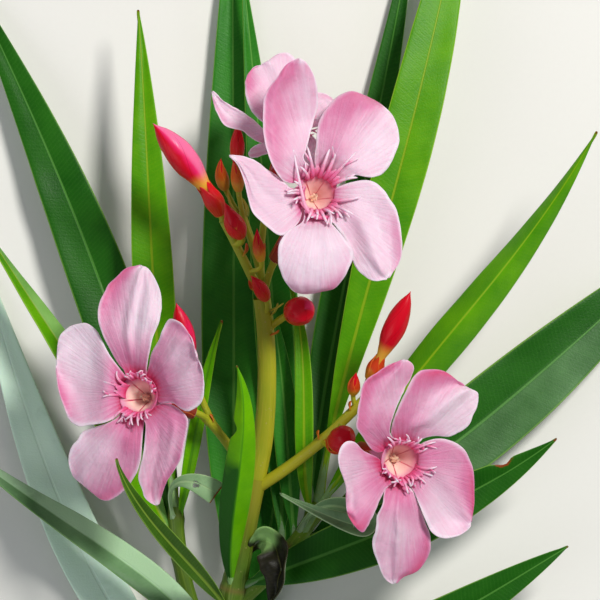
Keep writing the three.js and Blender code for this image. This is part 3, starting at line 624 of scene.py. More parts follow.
def bezier(handles, t):
    """The place at t on a Bezier curve and the curve's direction there."""
    while len(handles) > 2:
        handles = [a.lerp(b, t) for a, b in zip(handles, handles[1:])]
    return handles[0].lerp(handles[1], t), (handles[1] - handles[0]).normalized()


class Track:
    """A line through many points, followed by share of its length."""

    def __init__(self, points):
        self.points = points
        self.reached = [0]
        for a, b in zip(points, points[1:]):
            self.reached.append(self.reached[-1] + (b - a).length)
        self.length = self.reached[-1]

    def at(self, share):
        goal = share * self.length
        i = min(max(bisect_left(self.reached, goal), 1), len(self.points) - 1)
        step = self.reached[i] - self.reached[i - 1]
        return self.points[i - 1].lerp(self.points[i], min(1, (goal - self.reached[i - 1]) / step))

    def course(self, share, off):
        """The direction between two places that lie this far off on either side."""
        return (self.at(min(1, share + off)) - self.at(max(0, share - off))).normalized()

    def rings(self, steps):
        """The place, direction and two square directions at even steps along, without a twist."""
        found, first = [], None
        for i in range(steps + 1):
            course = self.course(i / steps, COURSE_STEP)
            first = (first - first.dot(course) * course if found else course.orthogonal()).normalized()
            found.append((self.at(i / steps), course, first, course.cross(first)))
        return found


def curved(*handles, steps=120):
    handles = [Vector(h) for h in handles]
    return Track([bezier(handles, i / steps)[0] for i in range(steps + 1)])


def rounded(corners, steps=6):
    """A smooth line through its corners."""
    padded = [2 * corners[0] - corners[1], *corners, 2 * corners[-1] - corners[-2]]
    points = []
    for a, b, c, d in zip(padded, padded[1:], padded[2:], padded[3:]):
        for i in range(steps):
            t = i / steps
            bend = (2 * a - 5 * b + 4 * c - d) * t * t + (3 * b - a - 3 * c + d) * t**3
            points.append((2 * b + (c - a) * t + bend) / 2)
    return Track([*points, corners[-1]])


def outward(angle, first, second):
    """The way out from a line, this angle round from its first square direction towards its second."""
    return math.cos(angle) * first + math.sin(angle) * second


def blend(low, high, t):
    return low + (high - low) * t


def smooth(low, high, value):
    t = min(1, max(0, (value - low) / (high - low)))
    return t * t * (3 - 2 * t)


def hump(value, middle, spread):
    return math.exp(-(((value - middle) / spread) ** 2))


def through(values, share):
    """The value at a share of the way along a row of evenly spaced values, eased between them."""
    step = min(max(share, 0), 1) * (len(values) - 1)
    i = min(int(step), len(values) - 2)
    before, after = values[max(i - 1, 0)], values[min(i + 2, len(values) - 1)]
    a, b, t = values[i], values[i + 1], step - i
    bend = 2 * before - 5 * a + 4 * b - after
    return 0.5 * (2 * a + (b - before) * t + bend * t * t + (3 * a - before - 3 * b + after) * t**3)


def drift(seed, *at):
    """A smooth random value about 0, the same each run."""
    x, y = (*at, 0)[:2]
    return noise.noise(Vector((x, y, 7.3 * seed)))


# What is painted onto the points: how pink or yellow, which on petals and buds is partly painted light
# and shade; how far into the throat, with the throat's wall open to the light painted creamier; how old or
# dry; and how far a half of a leaf differs, as a painted sheen, as painted shade and as a dead leaf's green
PAINTS = ("blush", "depth", "age", "wax")
CLOSE = 0.0005  # points nearer to each other than this are one
SHEET_REST = 0.5  # a sheet's lowest height, since it is thickened downwards
COURSE_STEP = 0.01  # how far apart the places are that a line's direction is taken from, as a share of it


def new_form():
    form = bmesh.new()
    form.loops.layers.uv.new("share")  # across and along, from 0 to 1
    form.loops.layers.uv.new("flat")  # across and along, in millimetres
    for paint in PAINTS:
        form.verts.layers.float.new(paint)
    return form


def add_sheet(form, columns, rows, place, flat=lambda across, along: (across, along), **paints):
    """Adds a grid to a form, each point put where place(across, along) says, both from 0 to 1."""
    points = bmesh.ops.create_grid(form, x_segments=columns, y_segments=rows, size=0.5)["verts"]
    spots = {point: (point.co.x + 0.5, point.co.y + 0.5) for point in points}
    share, flat_map = form.loops.layers.uv["share"], form.loops.layers.uv["flat"]
    for face in {face for point in points for face in point.link_faces}:
        for loop in face.loops:
            loop[share].uv = spots[loop.vert]
            loop[flat_map].uv = flat(*spots[loop.vert])
    layers = form.verts.layers.float
    for point, spot in spots.items():
        point.co = place(*spot)
        for name, paint in paints.items():
            point[layers[name]] = paint(*spot)
    return points


def add_limb(form, track, radius, rings, sides, twist=0, **paints):
    """Adds a closed round limb along a track. radius(turn, along) takes both from 0 to 1."""
    stations = track.rings(rings)
    girth = FULL_TURN * radius(0.25, 0.5)

    def place(turn, along):
        spot, _, first, second = stations[round(along * rings)]
        return spot + radius(turn, along) * outward(FULL_TURN * (turn + twist * along), first, second)

    def flat(turn, along):
        return turn * girth, along * track.length

    points = add_sheet(form, sides, rings, place, flat=flat, **paints)
    bmesh.ops.remove_doubles(form, verts=points, dist=CLOSE)
    rims = [edge for edge in form.edges if edge.is_boundary]
    bmesh.ops.holes_fill(form, edges=rims, sides=sides)
    for edge in rims:
        edge.smooth = False
    return stations


def piece(name, form, skins, node=None, thick=0):
    """Turns a form into a finished piece, which may stand for a CAD node. A sheet gets its thickness."""
    if not thick:
        bmesh.ops.recalc_face_normals(form, faces=form.faces)
    # what touches the table rests on it
    for point in form.verts:
        point.co.z = max(point.co.z, SHEET_REST if thick else 0)
    form.transform(TO_METRES)
    mesh = bpy.data.meshes.new(name)
    form.to_mesh(mesh)
    form.free()
    mesh.shade_smooth()
    for skin in skins:
        mesh.materials.append(skin)
    made = bpy.data.objects.new(name, mesh)
    bpy.context.scene.collection.objects.link(made)
    if node:
        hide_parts(node)
    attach(made, "root")
    if thick:
        thicken(made, thick, underside=len(skins) - 1)


def thicken(made, thickness, underside):
    """Gives a sheet its thickness downwards and rounds its edges."""
    wall = made.modifiers.new("thickness", "SOLIDIFY")
    wall.thickness = thickness
    wall.offset = -1
    wall.material_offset = underside
    finer = made.modifiers.new("finer", "SUBSURF")
    finer.levels = finer.render_levels = 1


def add(tree, kind, inputs=None, out=0, **settings):
    """Adds a shader node with its settings, input values and links, and gives back one of its outputs."""
    node = tree.nodes.new("ShaderNode" + kind)
    for name, value in settings.items():
        setattr(node, name, value)
    for name, value in (inputs or {}).items():
        if isinstance(value, bpy.types.NodeSocket):
            tree.links.new(value, node.inputs[name])
        else:
            node.inputs[name].default_value = value
    return node.outputs[out] if len(node.outputs) else None


def new_material(name):
    """An empty material, and what adds a node to it."""
    material = bpy.data.materials.new(name)
    material.use_nodes = True
    material.node_tree.nodes.clear()
    return material, partial(add, material.node_tree)


def finish_material(node, colour, layers, **inputs):
    """Lays more colours over the first, each as far as its mask lets it, and ends the material."""
    for mask, over in layers:
        # where a Mix node mixes colours, its inputs are 0 for the factor and 6 and 7 for the two
        colour = node("Mix", {0: mask, 6: colour, 7: over}, out=2, data_type="RGBA")
    named = {name.replace("_", " "): value for name, value in inputs.items()}
    shader = node("BsdfPrincipled", {"Base Color": colour, **named})
    node("OutputMaterial", {"Surface": shader})


# MapRange takes a value as 0, its range as 1 and 2, and what that range becomes as 3 and 4, or else 0 and 1
SMOOTH = {"interpolation_type": "SMOOTHSTEP"}
TIMES = {"operation": "MULTIPLY"}
TIMES_PLUS = {"operation": "MULTIPLY_ADD"}  # 0 times 1, and 2 added
LEAF_TONES = {
    # deep green, light green, midrib and veins, margin, and the half that differs: on most tones a paler
    # painted sheen, on lime darker painted shade, on withered the last green
    # bright and lime are partly painted light: lighter than the leaves' own green, as if light shone through
    "bright": ("#418a00", "#62a600", "#86a616", "#9cc83a", "#a2c48c"),
    "dark": ("#155206", "#24660e", "#4e8a34", "#7cac40", "#a8cca0"),
    # mid is a lighter copy of dark, painted light for leaves that lie in shade
    "mid": ("#1f6e14", "#348420", "#5c9c3c", "#7cac40", "#a8cca0"),
    "lime": ("#4a9600", "#74bc00", "#4a8c10", "#a8d03c", "#1c5a0a"),
    # pale is the leaf's own pale tone, made brighter as painted light where the leaf lies in shade
    "pale": ("#86b08e", "#b4d8ba", "#c0e0bc", "#d2e8c8", "#dcf8e2"),
    "sage": ("#5e8256", "#8cb080", "#98b884", "#b8d0a0", "#c8e0c8"),
    "olive": ("#32580e", "#44701a", "#7c9a34", "#8ab040", "#9ab880"),
    "withered": ("#0e120a", "#28241a", "#4a4a20", "#2a2410", "#9cc878"),
}


def side_veins(node, out_from_rib, along, grain):
    """Where the side veins are. They run out and forwards from the midrib, one vein gap apart."""
    slope = node("Math", {0: out_from_rib, 1: -0.45, 2: along}, **TIMES_PLUS)
    wobble = node("Math", {0: grain, 1: 0.35, 2: slope}, **TIMES_PLUS)
    per_vein = FULL_TURN * MM / bpy.context.scene.branch_sizes.vein_gap
    wave = node("Math", {0: node("Math", {0: wobble, 1: per_vein}, **TIMES)}, operation="SINE")
    return node("MapRange", {0: wave, 1: 0.2, 2: 1.0}, **SMOOTH)


def leaf_skin(tone):
    """The upper skin of a leathery oleander leaf: a little glossy, with a pale midrib and close side veins,
    and on some leaves a half painted paler as a sheen, on one a half painted darker as shade.
    """
    deep, light, rib_colour, margin_colour, waxy = map(linear, LEAF_TONES[tone])
    material, node = new_material(f"leaf_skin_{tone}")
    place = node("TexCoord", out="Object")
    flat = node("SeparateXYZ", {0: node("UVMap", uv_map="flat")})
    share = node("SeparateXYZ", {0: node("UVMap", uv_map="share")})
    out_from_rib = node("Math", {0: flat}, operation="ABSOLUTE")
    # cloudy patches about 12 mm wide and a fine grain of about 0.4 mm
    patches = node("TexNoise", {"Vector": place, "Scale": 85.0, "Detail": 4.0, "Roughness": 0.6})
    grain = node("TexNoise", {"Vector": place, "Scale": 2500.0, "Detail": 2.0})
    lighter = node("MapRange", {0: patches, 1: 0.3, 2: 0.7})
    veins = side_veins(node, out_from_rib, flat.node.outputs[1], grain)
    # the midrib is 1.1 mm wide at the leaf's foot and 0.25 mm at its tip
    rib_width = node("MapRange", {0: share.node.outputs[1], 3: 0.5, 4: 0.12})
    from_rib = node("Math", {0: out_from_rib, 1: rib_width}, operation="DIVIDE")
    rib = node("MapRange", {0: from_rib, 1: 1.25, 2: 0.55}, **SMOOTH)
    off_middle = node("Math", {0: share, 1: 0.5}, operation="SUBTRACT")
    to_edge = node("Math", {0: off_middle}, operation="ABSOLUTE")
    margin = node("MapRange", {0: to_edge, 1: 0.474, 2: 0.492, 4: 0.8}, **SMOOTH)
    age = node("Attribute", attribute_name="age", out="Fac")
    spotted = node("Math", {0: grain, 1: 0.8, 2: age}, **TIMES_PLUS)
    dry = node("MapRange", {0: spotted, 1: 0.7, 2: 1.0}, **SMOOTH)
    # painted sheen and painted shade: a half of some leaves is painted paler as sheen, of one darker as
    # shade, and the withered leaf keeps its last green there
    wax = node("Attribute", attribute_name="wax", out="Fac")
    clouded = node("MapRange", {0: node("Math", {0: wax, 1: patches}, **TIMES), 2: 0.6})
    relief = node("Math", {0: veins, 1: -0.12, 2: grain}, **TIMES_PLUS)
    relief = node("Math", {0: rib, 1: -1.6, 2: relief}, **TIMES_PLUS)
    finish_material(
        node, deep,
        (
            (lighter, light), (node("Math", {0: veins, 1: 0.07}, **TIMES), rib_colour),
            (node("Math", {0: rib, 1: 0.85}, **TIMES), rib_colour), (margin, margin_colour),
            (clouded, waxy), (dry, linear("#8a4018")),
        ),
        Roughness=node("MapRange", {0: patches, 3: 0.34, 4: 0.5}),
        Normal=node("Bump", {"Strength": 0.45, "Distance": 0.00012, "Height": relief}),
        Specular_IOR_Level=0.18, IOR=1.45,
        Subsurface_Weight=0.06, Subsurface_Radius=(0.5, 1.0, 0.2), Subsurface_Scale=0.0006,
    )
    return material


def leaf_underside(tone):
    """The underside of an oleander leaf: paler and matt, with the midrib standing out."""
    deep, light, rib_colour, _, _ = map(linear, LEAF_TONES[tone])
    deep = Vector(deep).lerp(Vector(linear("#9db592")), 0.5)
    light = Vector(light).lerp(Vector(linear("#b4c8a4")), 0.5)
    material, node = new_material(f"leaf_underside_{tone}")
    place = node("TexCoord", out="Object")
    flat = node("SeparateXYZ", {0: node("UVMap", uv_map="flat")})
    out_from_rib = node("Math", {0: flat}, operation="ABSOLUTE")
    # net veins of about 0.7 mm
    net = node("TexVoronoi", {"Vector": place, "Scale": 1400.0}, feature="DISTANCE_TO_EDGE")
    lines = node("MapRange", {0: net, 1: 0.12, 2: 0.0})
    patches = node("TexNoise", {"Vector": place, "Scale": 120.0, "Detail": 3.0})
    rib = node("MapRange", {0: out_from_rib, 1: 0.7, 2: 0.35}, **SMOOTH)
    finish_material(
        node, deep,
        ((patches, light), (node("Math", {0: lines, 1: 0.3}, **TIMES), rib_colour), (rib, rib_colour)),
        Roughness=0.68, IOR=1.4,
        Normal=node("Bump", {"Strength": 0.4, "Distance": 0.0001, "Height": lines}),
    )
    return material


def foot_streaks(node, soft, bearing, along):
    """Broad streaks of deep colour that run out from a petal's foot, 9 degrees apart."""
    wander = node("Math", {0: soft, 1: 1.6, 2: bearing}, **TIMES_PLUS)
    streaks = node("Math", {0: node("Math", {0: wander, 1: FULL_TURN / 9}, **TIMES)}, operation="SINE")
    near_foot = node("MapRange", {0: along, 1: 0.4, 2: 0.05}, **SMOOTH)
    return node("Math", {0: streaks, 1: near_foot}, **TIMES)


def guide_lines(node, soft, turn, depth):
    """Five fine lines that run down the throat's wall."""
    around = node("Math", {0: soft, 1: 0.02, 2: turn}, **TIMES_PLUS)
    wave = node("Math", {0: node("Math", {0: around, 1: FULL_TURN * 5}, **TIMES)}, operation="SINE")
    return node("Math", {0: node("MapRange", {0: wave, 1: 0.93, 2: 0.98}), 1: depth}, **TIMES)


def petal_skin():
    """A petal: thin and satiny, with fine lines that fan out from its foot, and lit through by the sun."""
    colours = bpy.context.scene.branch_colours
    material, node = new_material("petal_skin")
    share = node("SeparateXYZ", {0: node("UVMap", uv_map="share")})
    place = node("TexCoord", out="Object")
    soft = node("TexNoise", {"Vector": place, "Scale": 220.0, "Detail": 4.0, "Roughness": 0.6})
    # fine uneven lines about 2 degrees apart, which is 0.5 mm at the petal's widest, and up to 12 mm long
    fan = node("UVMap", uv_map="flat")
    drawn_out = node("Mapping", {"Vector": fan, "Scale": (0.5, 0.08, 1.0)})
    fibres = node("TexNoise", {"Vector": drawn_out, "Scale": 1.0, "Detail": 3.0, "Roughness": 0.6})
    lines = node("Math", {0: fibres, 1: 4.0, 2: -2.0}, **TIMES_PLUS)
    streaks = foot_streaks(node, soft, node("SeparateXYZ", {0: fan}), share.node.outputs[1])
    pinkness = node("Attribute", attribute_name="blush", out="Fac")
    for pattern, strength in ((soft, 0.22), (lines, 0.07), (streaks, 0.07)):
        pinkness = node("Math", {0: pattern, 1: strength, 2: pinkness}, **TIMES_PLUS)
    # the throat turns to cream, painted brightest on the wall open to the light, with crimson guide lines
    # running down into it
    depth = node("Attribute", attribute_name="depth", out="Fac")
    guides = guide_lines(node, soft, share, depth)
    # the fine lines stand out a little where the soft crumpling, about 4 mm across, lets them
    relief = node("Math", {0: soft, 1: 7.0, 2: node("Math", {0: lines, 1: 0.8}, **TIMES)}, **TIMES_PLUS)
    finish_material(
        node, tuple(colours.petal_pale),
        (
            (node("MapRange", {0: pinkness, 1: 0.05, 2: 0.62}), tuple(colours.petal_pink)),
            (node("MapRange", {0: pinkness, 1: 0.62, 2: 1.15}), tuple(colours.petal_deep)),
            (node("Math", {0: depth, 1: 0.85}, **TIMES), tuple(colours.throat)),
            (guides, linear("#c41c54")),
        ),
        Roughness=0.5, Normal=node("Bump", {"Strength": 0.7, "Distance": 0.0001, "Height": relief}),
        IOR=1.4, Specular_IOR_Level=0.35,
        Subsurface_Weight=0.3, Subsurface_Radius=(1.0, 0.45, 0.6), Subsurface_Scale=0.0012,
        Sheen_Weight=0.12, Sheen_Roughness=0.4,
    )
    return material


def filament_skin():
    """The fringe's filaments: crimson at their feet and near white at their tips."""
    material, node = new_material("filament_skin")
    share = node("SeparateXYZ", {0: node("UVMap", uv_map="share")})
    soft = node("TexNoise", {"Vector": node("TexCoord", out="Object"), "Scale": 900.0, "Detail": 2.0})
    # the broad foot of each scale keeps the foot's colour
    keeps = node("Attribute", attribute_name="blush", out="Fac")
    held = node("Math", {0: share.node.outputs[1], 1: keeps}, operation="SUBTRACT")
    reach = node("Math", {0: soft, 1: 0.4, 2: held}, **TIMES_PLUS)
    finish_material(
        node, linear("#e02c70"),
        (
            (node("MapRange", {0: reach, 1: 0.25, 2: 0.65}), linear("#f078a8")),
            (node("MapRange", {0: reach, 1: 0.65, 2: 1.25}), linear("#f8dcea")),
        ),
        Roughness=0.45, IOR=1.4,
        Subsurface_Weight=0.45, Subsurface_Radius=(1.0, 0.4, 0.5), Subsurface_Scale=0.001,
    )
    return material


def anther_skin():
    """The anthers and their twisted plumes: cream and downy."""
    material, node = new_material("anther_down")
    fuzz = node("TexNoise", {"Vector": node("TexCoord", out="Object"), "Scale": 3000.0, "Detail": 3.0})
    finish_material(
        node, linear("#f0cca0"), ((fuzz, linear("#fbead0")),), Roughness=0.75,
        Normal=node("Bump", {"Strength": 0.6, "Distance": 0.0001, "Height": fuzz}),
        Sheen_Weight=0.4, Sheen_Roughness=0.5,
    )
    return material


def bud_skin():
    """The folded petals of a bud: smooth, glossy and red, with a pinker painted lit side and a paler painted
    highlight, and yellow at the foot.
    """
    colours = bpy.context.scene.branch_colours
    material, node = new_material("bud_skin")
    share = node("SeparateXYZ", {0: node("UVMap", uv_map="share")})
    soft = node("TexNoise", {"Vector": node("TexCoord", out="Object"), "Scale": 260.0, "Detail": 3.0})
    blush = node("Attribute", attribute_name="blush", out="Fac")
    # painted light: the side of a bud towards the light is painted pink
    sunlit = node("Math", {0: soft, 1: 0.5, 2: blush}, **TIMES_PLUS)
    # a fine dark line where one folded petal ends on the next
    fold = node("Math", {0: node("Math", {0: share, 1: FOLDS}, **TIMES)}, operation="FRACT")
    # fine lengthwise lines, about 0.4 mm apart
    wave = node("TexWave", {"Vector": node("UVMap", uv_map="flat"), "Scale": 0.8, "Distortion": 1.5})
    finish_material(
        node, tuple(colours.bud_red),
        (
            (node("MapRange", {0: sunlit, 1: 0.95, 2: 1.6}, **SMOOTH), tuple(colours.bud_pink)),
            # painted highlight: a paler pink where the painted lit side is strongest
            (node("MapRange", {0: blush, 1: 1.14, 2: 1.3, 4: 0.5}, **SMOOTH), linear("#f098c2")),
            (node("MapRange", {0: fold, 1: 0.95, 2: 0.99, 4: 0.45}, **SMOOTH), linear("#7e0216")),
            (node("MapRange", {0: share.node.outputs[1], 1: 0.46, 2: 0.3}, **SMOOTH), linear("#ecb03c")),
        ),
        Roughness=0.3, Normal=node("Bump", {"Strength": 0.12, "Distance": 0.0001, "Height": wave}),
        IOR=1.45, Specular_IOR_Level=0.25,
        Subsurface_Weight=0.12, Subsurface_Radius=(1.0, 0.2, 0.3), Subsurface_Scale=0.0015,
    )
    return material


SEPAL_TONES = {
    # foot, tip
    "red": ("#cc3a14", "#d60c1c"),
    "brown": ("#c49430", "#c8560c"),
    "orange": ("#c8961c", "#c83c10"),
    # dark: a darker copy of red for the blooms' calyxes, painted shade
    "dark": ("#8a3014", "#980f16"),
    "green": ("#90a02c", "#b8b840"),
}
SEPAL_LINES = 7


def sepal_skin(tone):
    """Sepals: thick and smooth, turning redder towards the tip, with faint lengthwise lines."""
    foot, tip = map(linear, SEPAL_TONES[tone])
    material, node = new_material(f"sepal_skin_{tone}")
    share = node("SeparateXYZ", {0: node("UVMap", uv_map="share")})
    place = node("TexCoord", out="Object")
    soft = node("TexNoise", {"Vector": place, "Scale": 420.0, "Detail": 4.0, "Roughness": 0.65})
    reach = node("Math", {0: soft, 1: 0.7, 2: share.node.outputs[1]}, **TIMES_PLUS)
    off_middle = node("Math", {0: share, 1: 0.5}, operation="SUBTRACT")
    to_edge = node("Math", {0: off_middle}, operation="ABSOLUTE")
    edge = node("MapRange", {0: to_edge, 1: 0.4, 2: 0.5, 4: 0.12 if tone == "red" else 0.35})
    turned = node("Math", {0: share, 1: FULL_TURN * SEPAL_LINES}, **TIMES)
    lines = node("Math", {0: turned}, operation="SINE")
    finish_material(
        node, foot,
        ((node("MapRange", {0: reach, 1: 0.45, 2: 0.95}, **SMOOTH), tip), (edge, linear("#e0a040"))),
        Roughness=0.4, Normal=node("Bump", {"Strength": 0.3, "Distance": 0.00008, "Height": lines}),
        IOR=1.45, Specular_IOR_Level=0.3,
    )
    return material


def stem_skin(name, sunlit, shadowed, line_colour, gap):
    """Green stem or flower stalk: smooth young bark with fine lengthwise ridges and small pale pores, one
    side painted lighter as if lit and the other painted darker as shade.
    """
    material, node = new_material(name)
    place = node("TexCoord", out="Object")
    patches = node("TexNoise", {"Vector": place, "Scale": 130.0, "Detail": 4.0, "Roughness": 0.6})
    # painted light and shade: one side takes the lit colour and the other the darker shaded colour, patchily
    share = node("SeparateXYZ", {0: node("UVMap", uv_map="share")})
    around = node("Math", {0: share, 1: FULL_TURN}, **TIMES)
    facing = node("Math", {0: around}, operation="SINE")
    side = node("Math", {0: facing, 1: 0.35, 2: patches}, **TIMES_PLUS)
    flat = node("UVMap", uv_map="flat")
    stretched = node("Mapping", {"Vector": flat, "Scale": (1 / gap, 0.04 / gap, 1.0)})
    ridges = node("TexNoise", {"Vector": stretched, "Scale": 1.0, "Detail": 2.0})
    # pores about 0.3 mm wide and 1.5 mm apart
    pores = node("TexVoronoi", {"Vector": place, "Scale": 650.0})
    dots = node("MapRange", {0: pores, 1: 0.17, 2: 0.08, 4: 0.3}, **SMOOTH)
    # the main stem turns yellow where the flower stalks leave it
    yellow, age = (node("Attribute", attribute_name=paint, out="Fac") for paint in ("blush", "age"))
    relief = node("Math", {0: dots, 1: 1.5, 2: ridges}, **TIMES_PLUS)
    finish_material(
        node, linear(shadowed),
        (
            (node("MapRange", {0: side, 1: 0.2, 2: 0.8}), sunlit),
            (node("MapRange", {0: ridges, 1: 0.5, 2: 0.75, 4: 0.5}), linear(line_colour)),
            (dots, linear("#c8b878")), (yellow, linear("#96921c")), (age, linear("#7a5a30")),
        ),
        Roughness=0.5, IOR=1.45,
        Normal=node("Bump", {"Strength": 0.5, "Distance": 0.00015, "Height": relief}),
    )
    return material


def cut_skin():
    """The fresh cut across the stem: a soft greenish pith, whitish wood round it and a thin green rind."""
    material, node = new_material("cut_skin")
    reach = node("SeparateXYZ", {0: node("UVMap", uv_map="flat")})
    grain = node("TexNoise", {"Vector": node("TexCoord", out="Object"), "Scale": 2600.0, "Detail": 3.0})
    place = node("Math", {0: grain, 1: 0.5, 2: reach}, **TIMES_PLUS)
    finish_material(
        node, linear("#a8b878"),
        (
            (node("MapRange", {0: place, 1: 1.2, 2: 1.7}, **SMOOTH), linear("#d9d8a8")),
            (node("MapRange", {0: place, 1: 2.9, 2: 3.2}, **SMOOTH), linear("#5c7c1c")),
        ),
        Roughness=0.7, IOR=1.4,
        Normal=node("Bump", {"Strength": 0.5, "Distance": 0.0001, "Height": grain}),
    )
    return material


STEM_SIDES = 20
NODE_SWELL = 0.16
NODE_SPREAD = 0.035
SLENDER = 1.5  # a stem that is thinner than this at its tip has finer rings
CUT_RADIUS = 3.4
CUT_PROUD = 0.06  # how far the face of the cut stands out from the stem's end
CUT_THICKNESS = 0.3


def stem_tracks():
    """Each stem's line, as in the part's source."""
    found = {}
    for name, row in STEMS.items():
        foot = [found[row["on"][0]].at(row["on"][1])] if "on" in row else []
        found[name] = curved(*foot, *row["path"], steps=200)
    return found


tracks = stem_tracks()


def grown_from(row):
    stem, share = row["on"]
    return tracks[stem].at(share)


def stem_radius(row, along):
    swell = sum(hump(along, node, NODE_SPREAD) for node in row["nodes"])
    return blend(*row["radii"], along) * (1 + NODE_SWELL * swell)


def add_stem(form, track, row):
    def radius(turn, along):
        ribs = 0.025 * math.sin(FULL_TURN * (3 * turn + 0.4 * along)) + 0.05 * drift(3, 4 * turn, 6 * along)
        # the skin wrinkles just over each leaf node
        wrinkles = sum(0.05 * hump(along, node + 0.02, 0.008) for node in row["nodes"])
        return stem_radius(row, along) * (1 + ribs - wrinkles)

    def age(turn, along):
        return 0.75 * sum(hump(along, node + 0.012, 0.006) for node in row["nodes"])

    def yellow(turn, along):
        return 0 if "on" in row else 0.9 * smooth(0.7, 1, along)

    rings = max(20, round(track.length / (0.8 if row["radii"][1] < SLENDER else 1)))
    return add_limb(form, track, radius, rings, STEM_SIDES, age=age, blush=yellow)[0], radius


def add_cut(form, station, radius):
    """A thin slice that covers the stem's cut end, its flat map measured out from the middle."""
    spot, course, first, second = station

    def place(turn, along):
        reach = 0.97 * along * radius(1 - turn, 0)
        return spot - CUT_PROUD * course + reach * outward(-FULL_TURN * turn, first, second)

    def flat(turn, along):
        return CUT_RADIUS * along, 10 * turn

    points = add_sheet(form, 2 * STEM_SIDES, 8, place, flat=flat)
    bmesh.ops.remove_doubles(form, verts=points, dist=CLOSE)


class BRANCH_OT_stems(bpy.types.Operator):
    """The main stem, its shoots and the flower stalks."""

    bl_idname = "branch.stems"
    bl_label = "Stems"

    def execute(self, context):
        colours = context.scene.branch_colours
        # each skin's second colour is its painted shaded side
        skins = {
            "stem": stem_skin("stem_skin", tuple(colours.stem), "#4c6a12", "#8aa03a", gap=0.5),
            "stalk": stem_skin("stalk_skin", tuple(colours.stalk), "#98a41a", "#bcb438", gap=0.35),
        }
        for name, row in STEMS.items():
            form = new_form()
            foot, radius = add_stem(form, tracks[name], row)
            piece(f"{name}_skin", form, [skins[row["tone"]]], name)
            if "on" not in row:
                form = new_form()
                add_cut(form, foot, radius)
                piece(f"{name}_cut", form, [cut_skin()], name, CUT_THICKNESS * MM)
        return {"FINISHED"}


PETIOLE_SHARE = 0.05
PETIOLE_HALF_WIDTH = 0.95
LEAF_FULLNESS = 0.9
LEAF_SHAPE = 0.8
LEAF_COLUMNS = 14
LEAF_ROW_GAP = 1.6
MARGIN_CROWDING = 1.25  # points crowd towards the midrib, where the blade bends most
CREASE_ROUNDING = 0.35
KEEL_RINGS = 60
KEEL_SIDES = 8


def leaf_half_width(row, along):
    reach = max(0, along - PETIOLE_SHARE) / (1 - PETIOLE_SHARE)
    share = (reach * row.get("cut_off", 1)) ** row.get("shape", LEAF_SHAPE)
    lance = row["width"] / 2 * math.sin(math.pi * min(share, 1)) ** LEAF_FULLNESS
    petiole = PETIOLE_HALF_WIDTH * (1 - smooth(0.04, 0.12, along))
    return max(lance, petiole, 0.06)


def bitten(row, side, along, length):
    """How far a bite eats into this side of the leaf."""
    bite = row.get("bite")
    if not bite or side != bite["side"]:
        return 0
    off = (along - bite["at"]) * length / bite["radius"]
    return bite["radius"] * math.sqrt(1 - off * off) if abs(off) < 1 else 0


class Blade:
    """A leaf's blade: where each of its points lies."""

    def __init__(self, seed, row):
        self.seed, self.row = seed, row
        self.handles = [grown_from(row), *map(Vector, row["path"])]
        self.length = curved(*self.handles).length
        self.fold = math.radians(row["fold"])

    def ground(self, along):
        """The midrib's place, its direction, the way to the right and the way up from the blade."""
        spot, course = bezier(self.handles, along)
        side = course.cross(UP).normalized()
        roll = math.radians(blend(*self.row.get("roll", (0, 0)), along))
        side = Matrix.Rotation(roll, 3, course) @ side
        return spot, course, side, side.cross(course)

    def crowded(self, across):
        """Across from -1 at the left margin to 1 at the right one, most slowly at the midrib."""
        turn = 2 * across - 1
        return math.copysign(abs(turn) ** MARGIN_CROWDING, turn)

    def place(self, across, along):
        spot, _, side, out = self.ground(along)
        seed, long, body = self.seed, self.length, smooth(0.04, 0.2, along)
        hand, off = math.copysign(1, 2 * across - 1), self.crowded(across)
        full = leaf_half_width(self.row, along)
        wide = off * (full - bitten(self.row, hand, along, self.length))
        rise = (math.hypot(wide, CREASE_ROUNDING) - CREASE_ROUNDING) * math.sin(self.fold)
        # the margin rolls under and ripples, and the whole blade is a little uneven
        rise -= body * 0.045 * full * off * off
        rise += body * 0.11 * full * drift(seed + 0.4 * hand, 0.09 * long * along) * abs(off) ** 1.5
        rise += body * 0.25 * drift(seed + 9, 0.05 * long * along, 1.5 * off)
        crumple = self.row.get("crumple", 0)
        rise += body * crumple * drift(seed + 2, 0.35 * long * along, 2.2 * off)
        wide *= 1 + 0.25 * crumple * drift(seed + 6, 0.3 * long * along, off)
        return spot + wide * math.cos(self.fold) * side + rise * out

    def flat(self, across, along):
        return self.crowded(across) * leaf_half_width(self.row, along), along * self.length

    def age(self, across, along):
        """Dry tissue: at the very tip, in places along the margins, and round a bite."""
        bite, turn = self.row.get("bite"), 2 * across - 1
        dry = self.row.get("dry_tip", 0.7) * smooth(0.985, 1, along)
        dry += 0.5 * smooth(0.9, 1, abs(turn)) * drift(self.seed, 9 * along)
        if bite and turn * bite["side"] > 0:
            off = abs(along - bite["at"]) * self.length / bite["radius"]
            dry = max(dry, bite["rim"] * smooth(1.5, 0.9, off) * smooth(0.55, 0.95, abs(turn)))
        return dry

    def wax(self, across, along):
        """How far a half of a leaf differs: paler as a painted sheen on most leaves, darker as painted shade
        on one, and the last green of a dead leaf.
        """
        start, stop = self.row.get("waxy_from", -1), self.row.get("waxy_to", 2)
        half = blend(*self.row.get("wax", (0, 0)), smooth(-0.08, 0.08, 2 * across - 1))
        return half * smooth(start - 0.06, start, along) * smooth(stop + 0.06, stop, along)


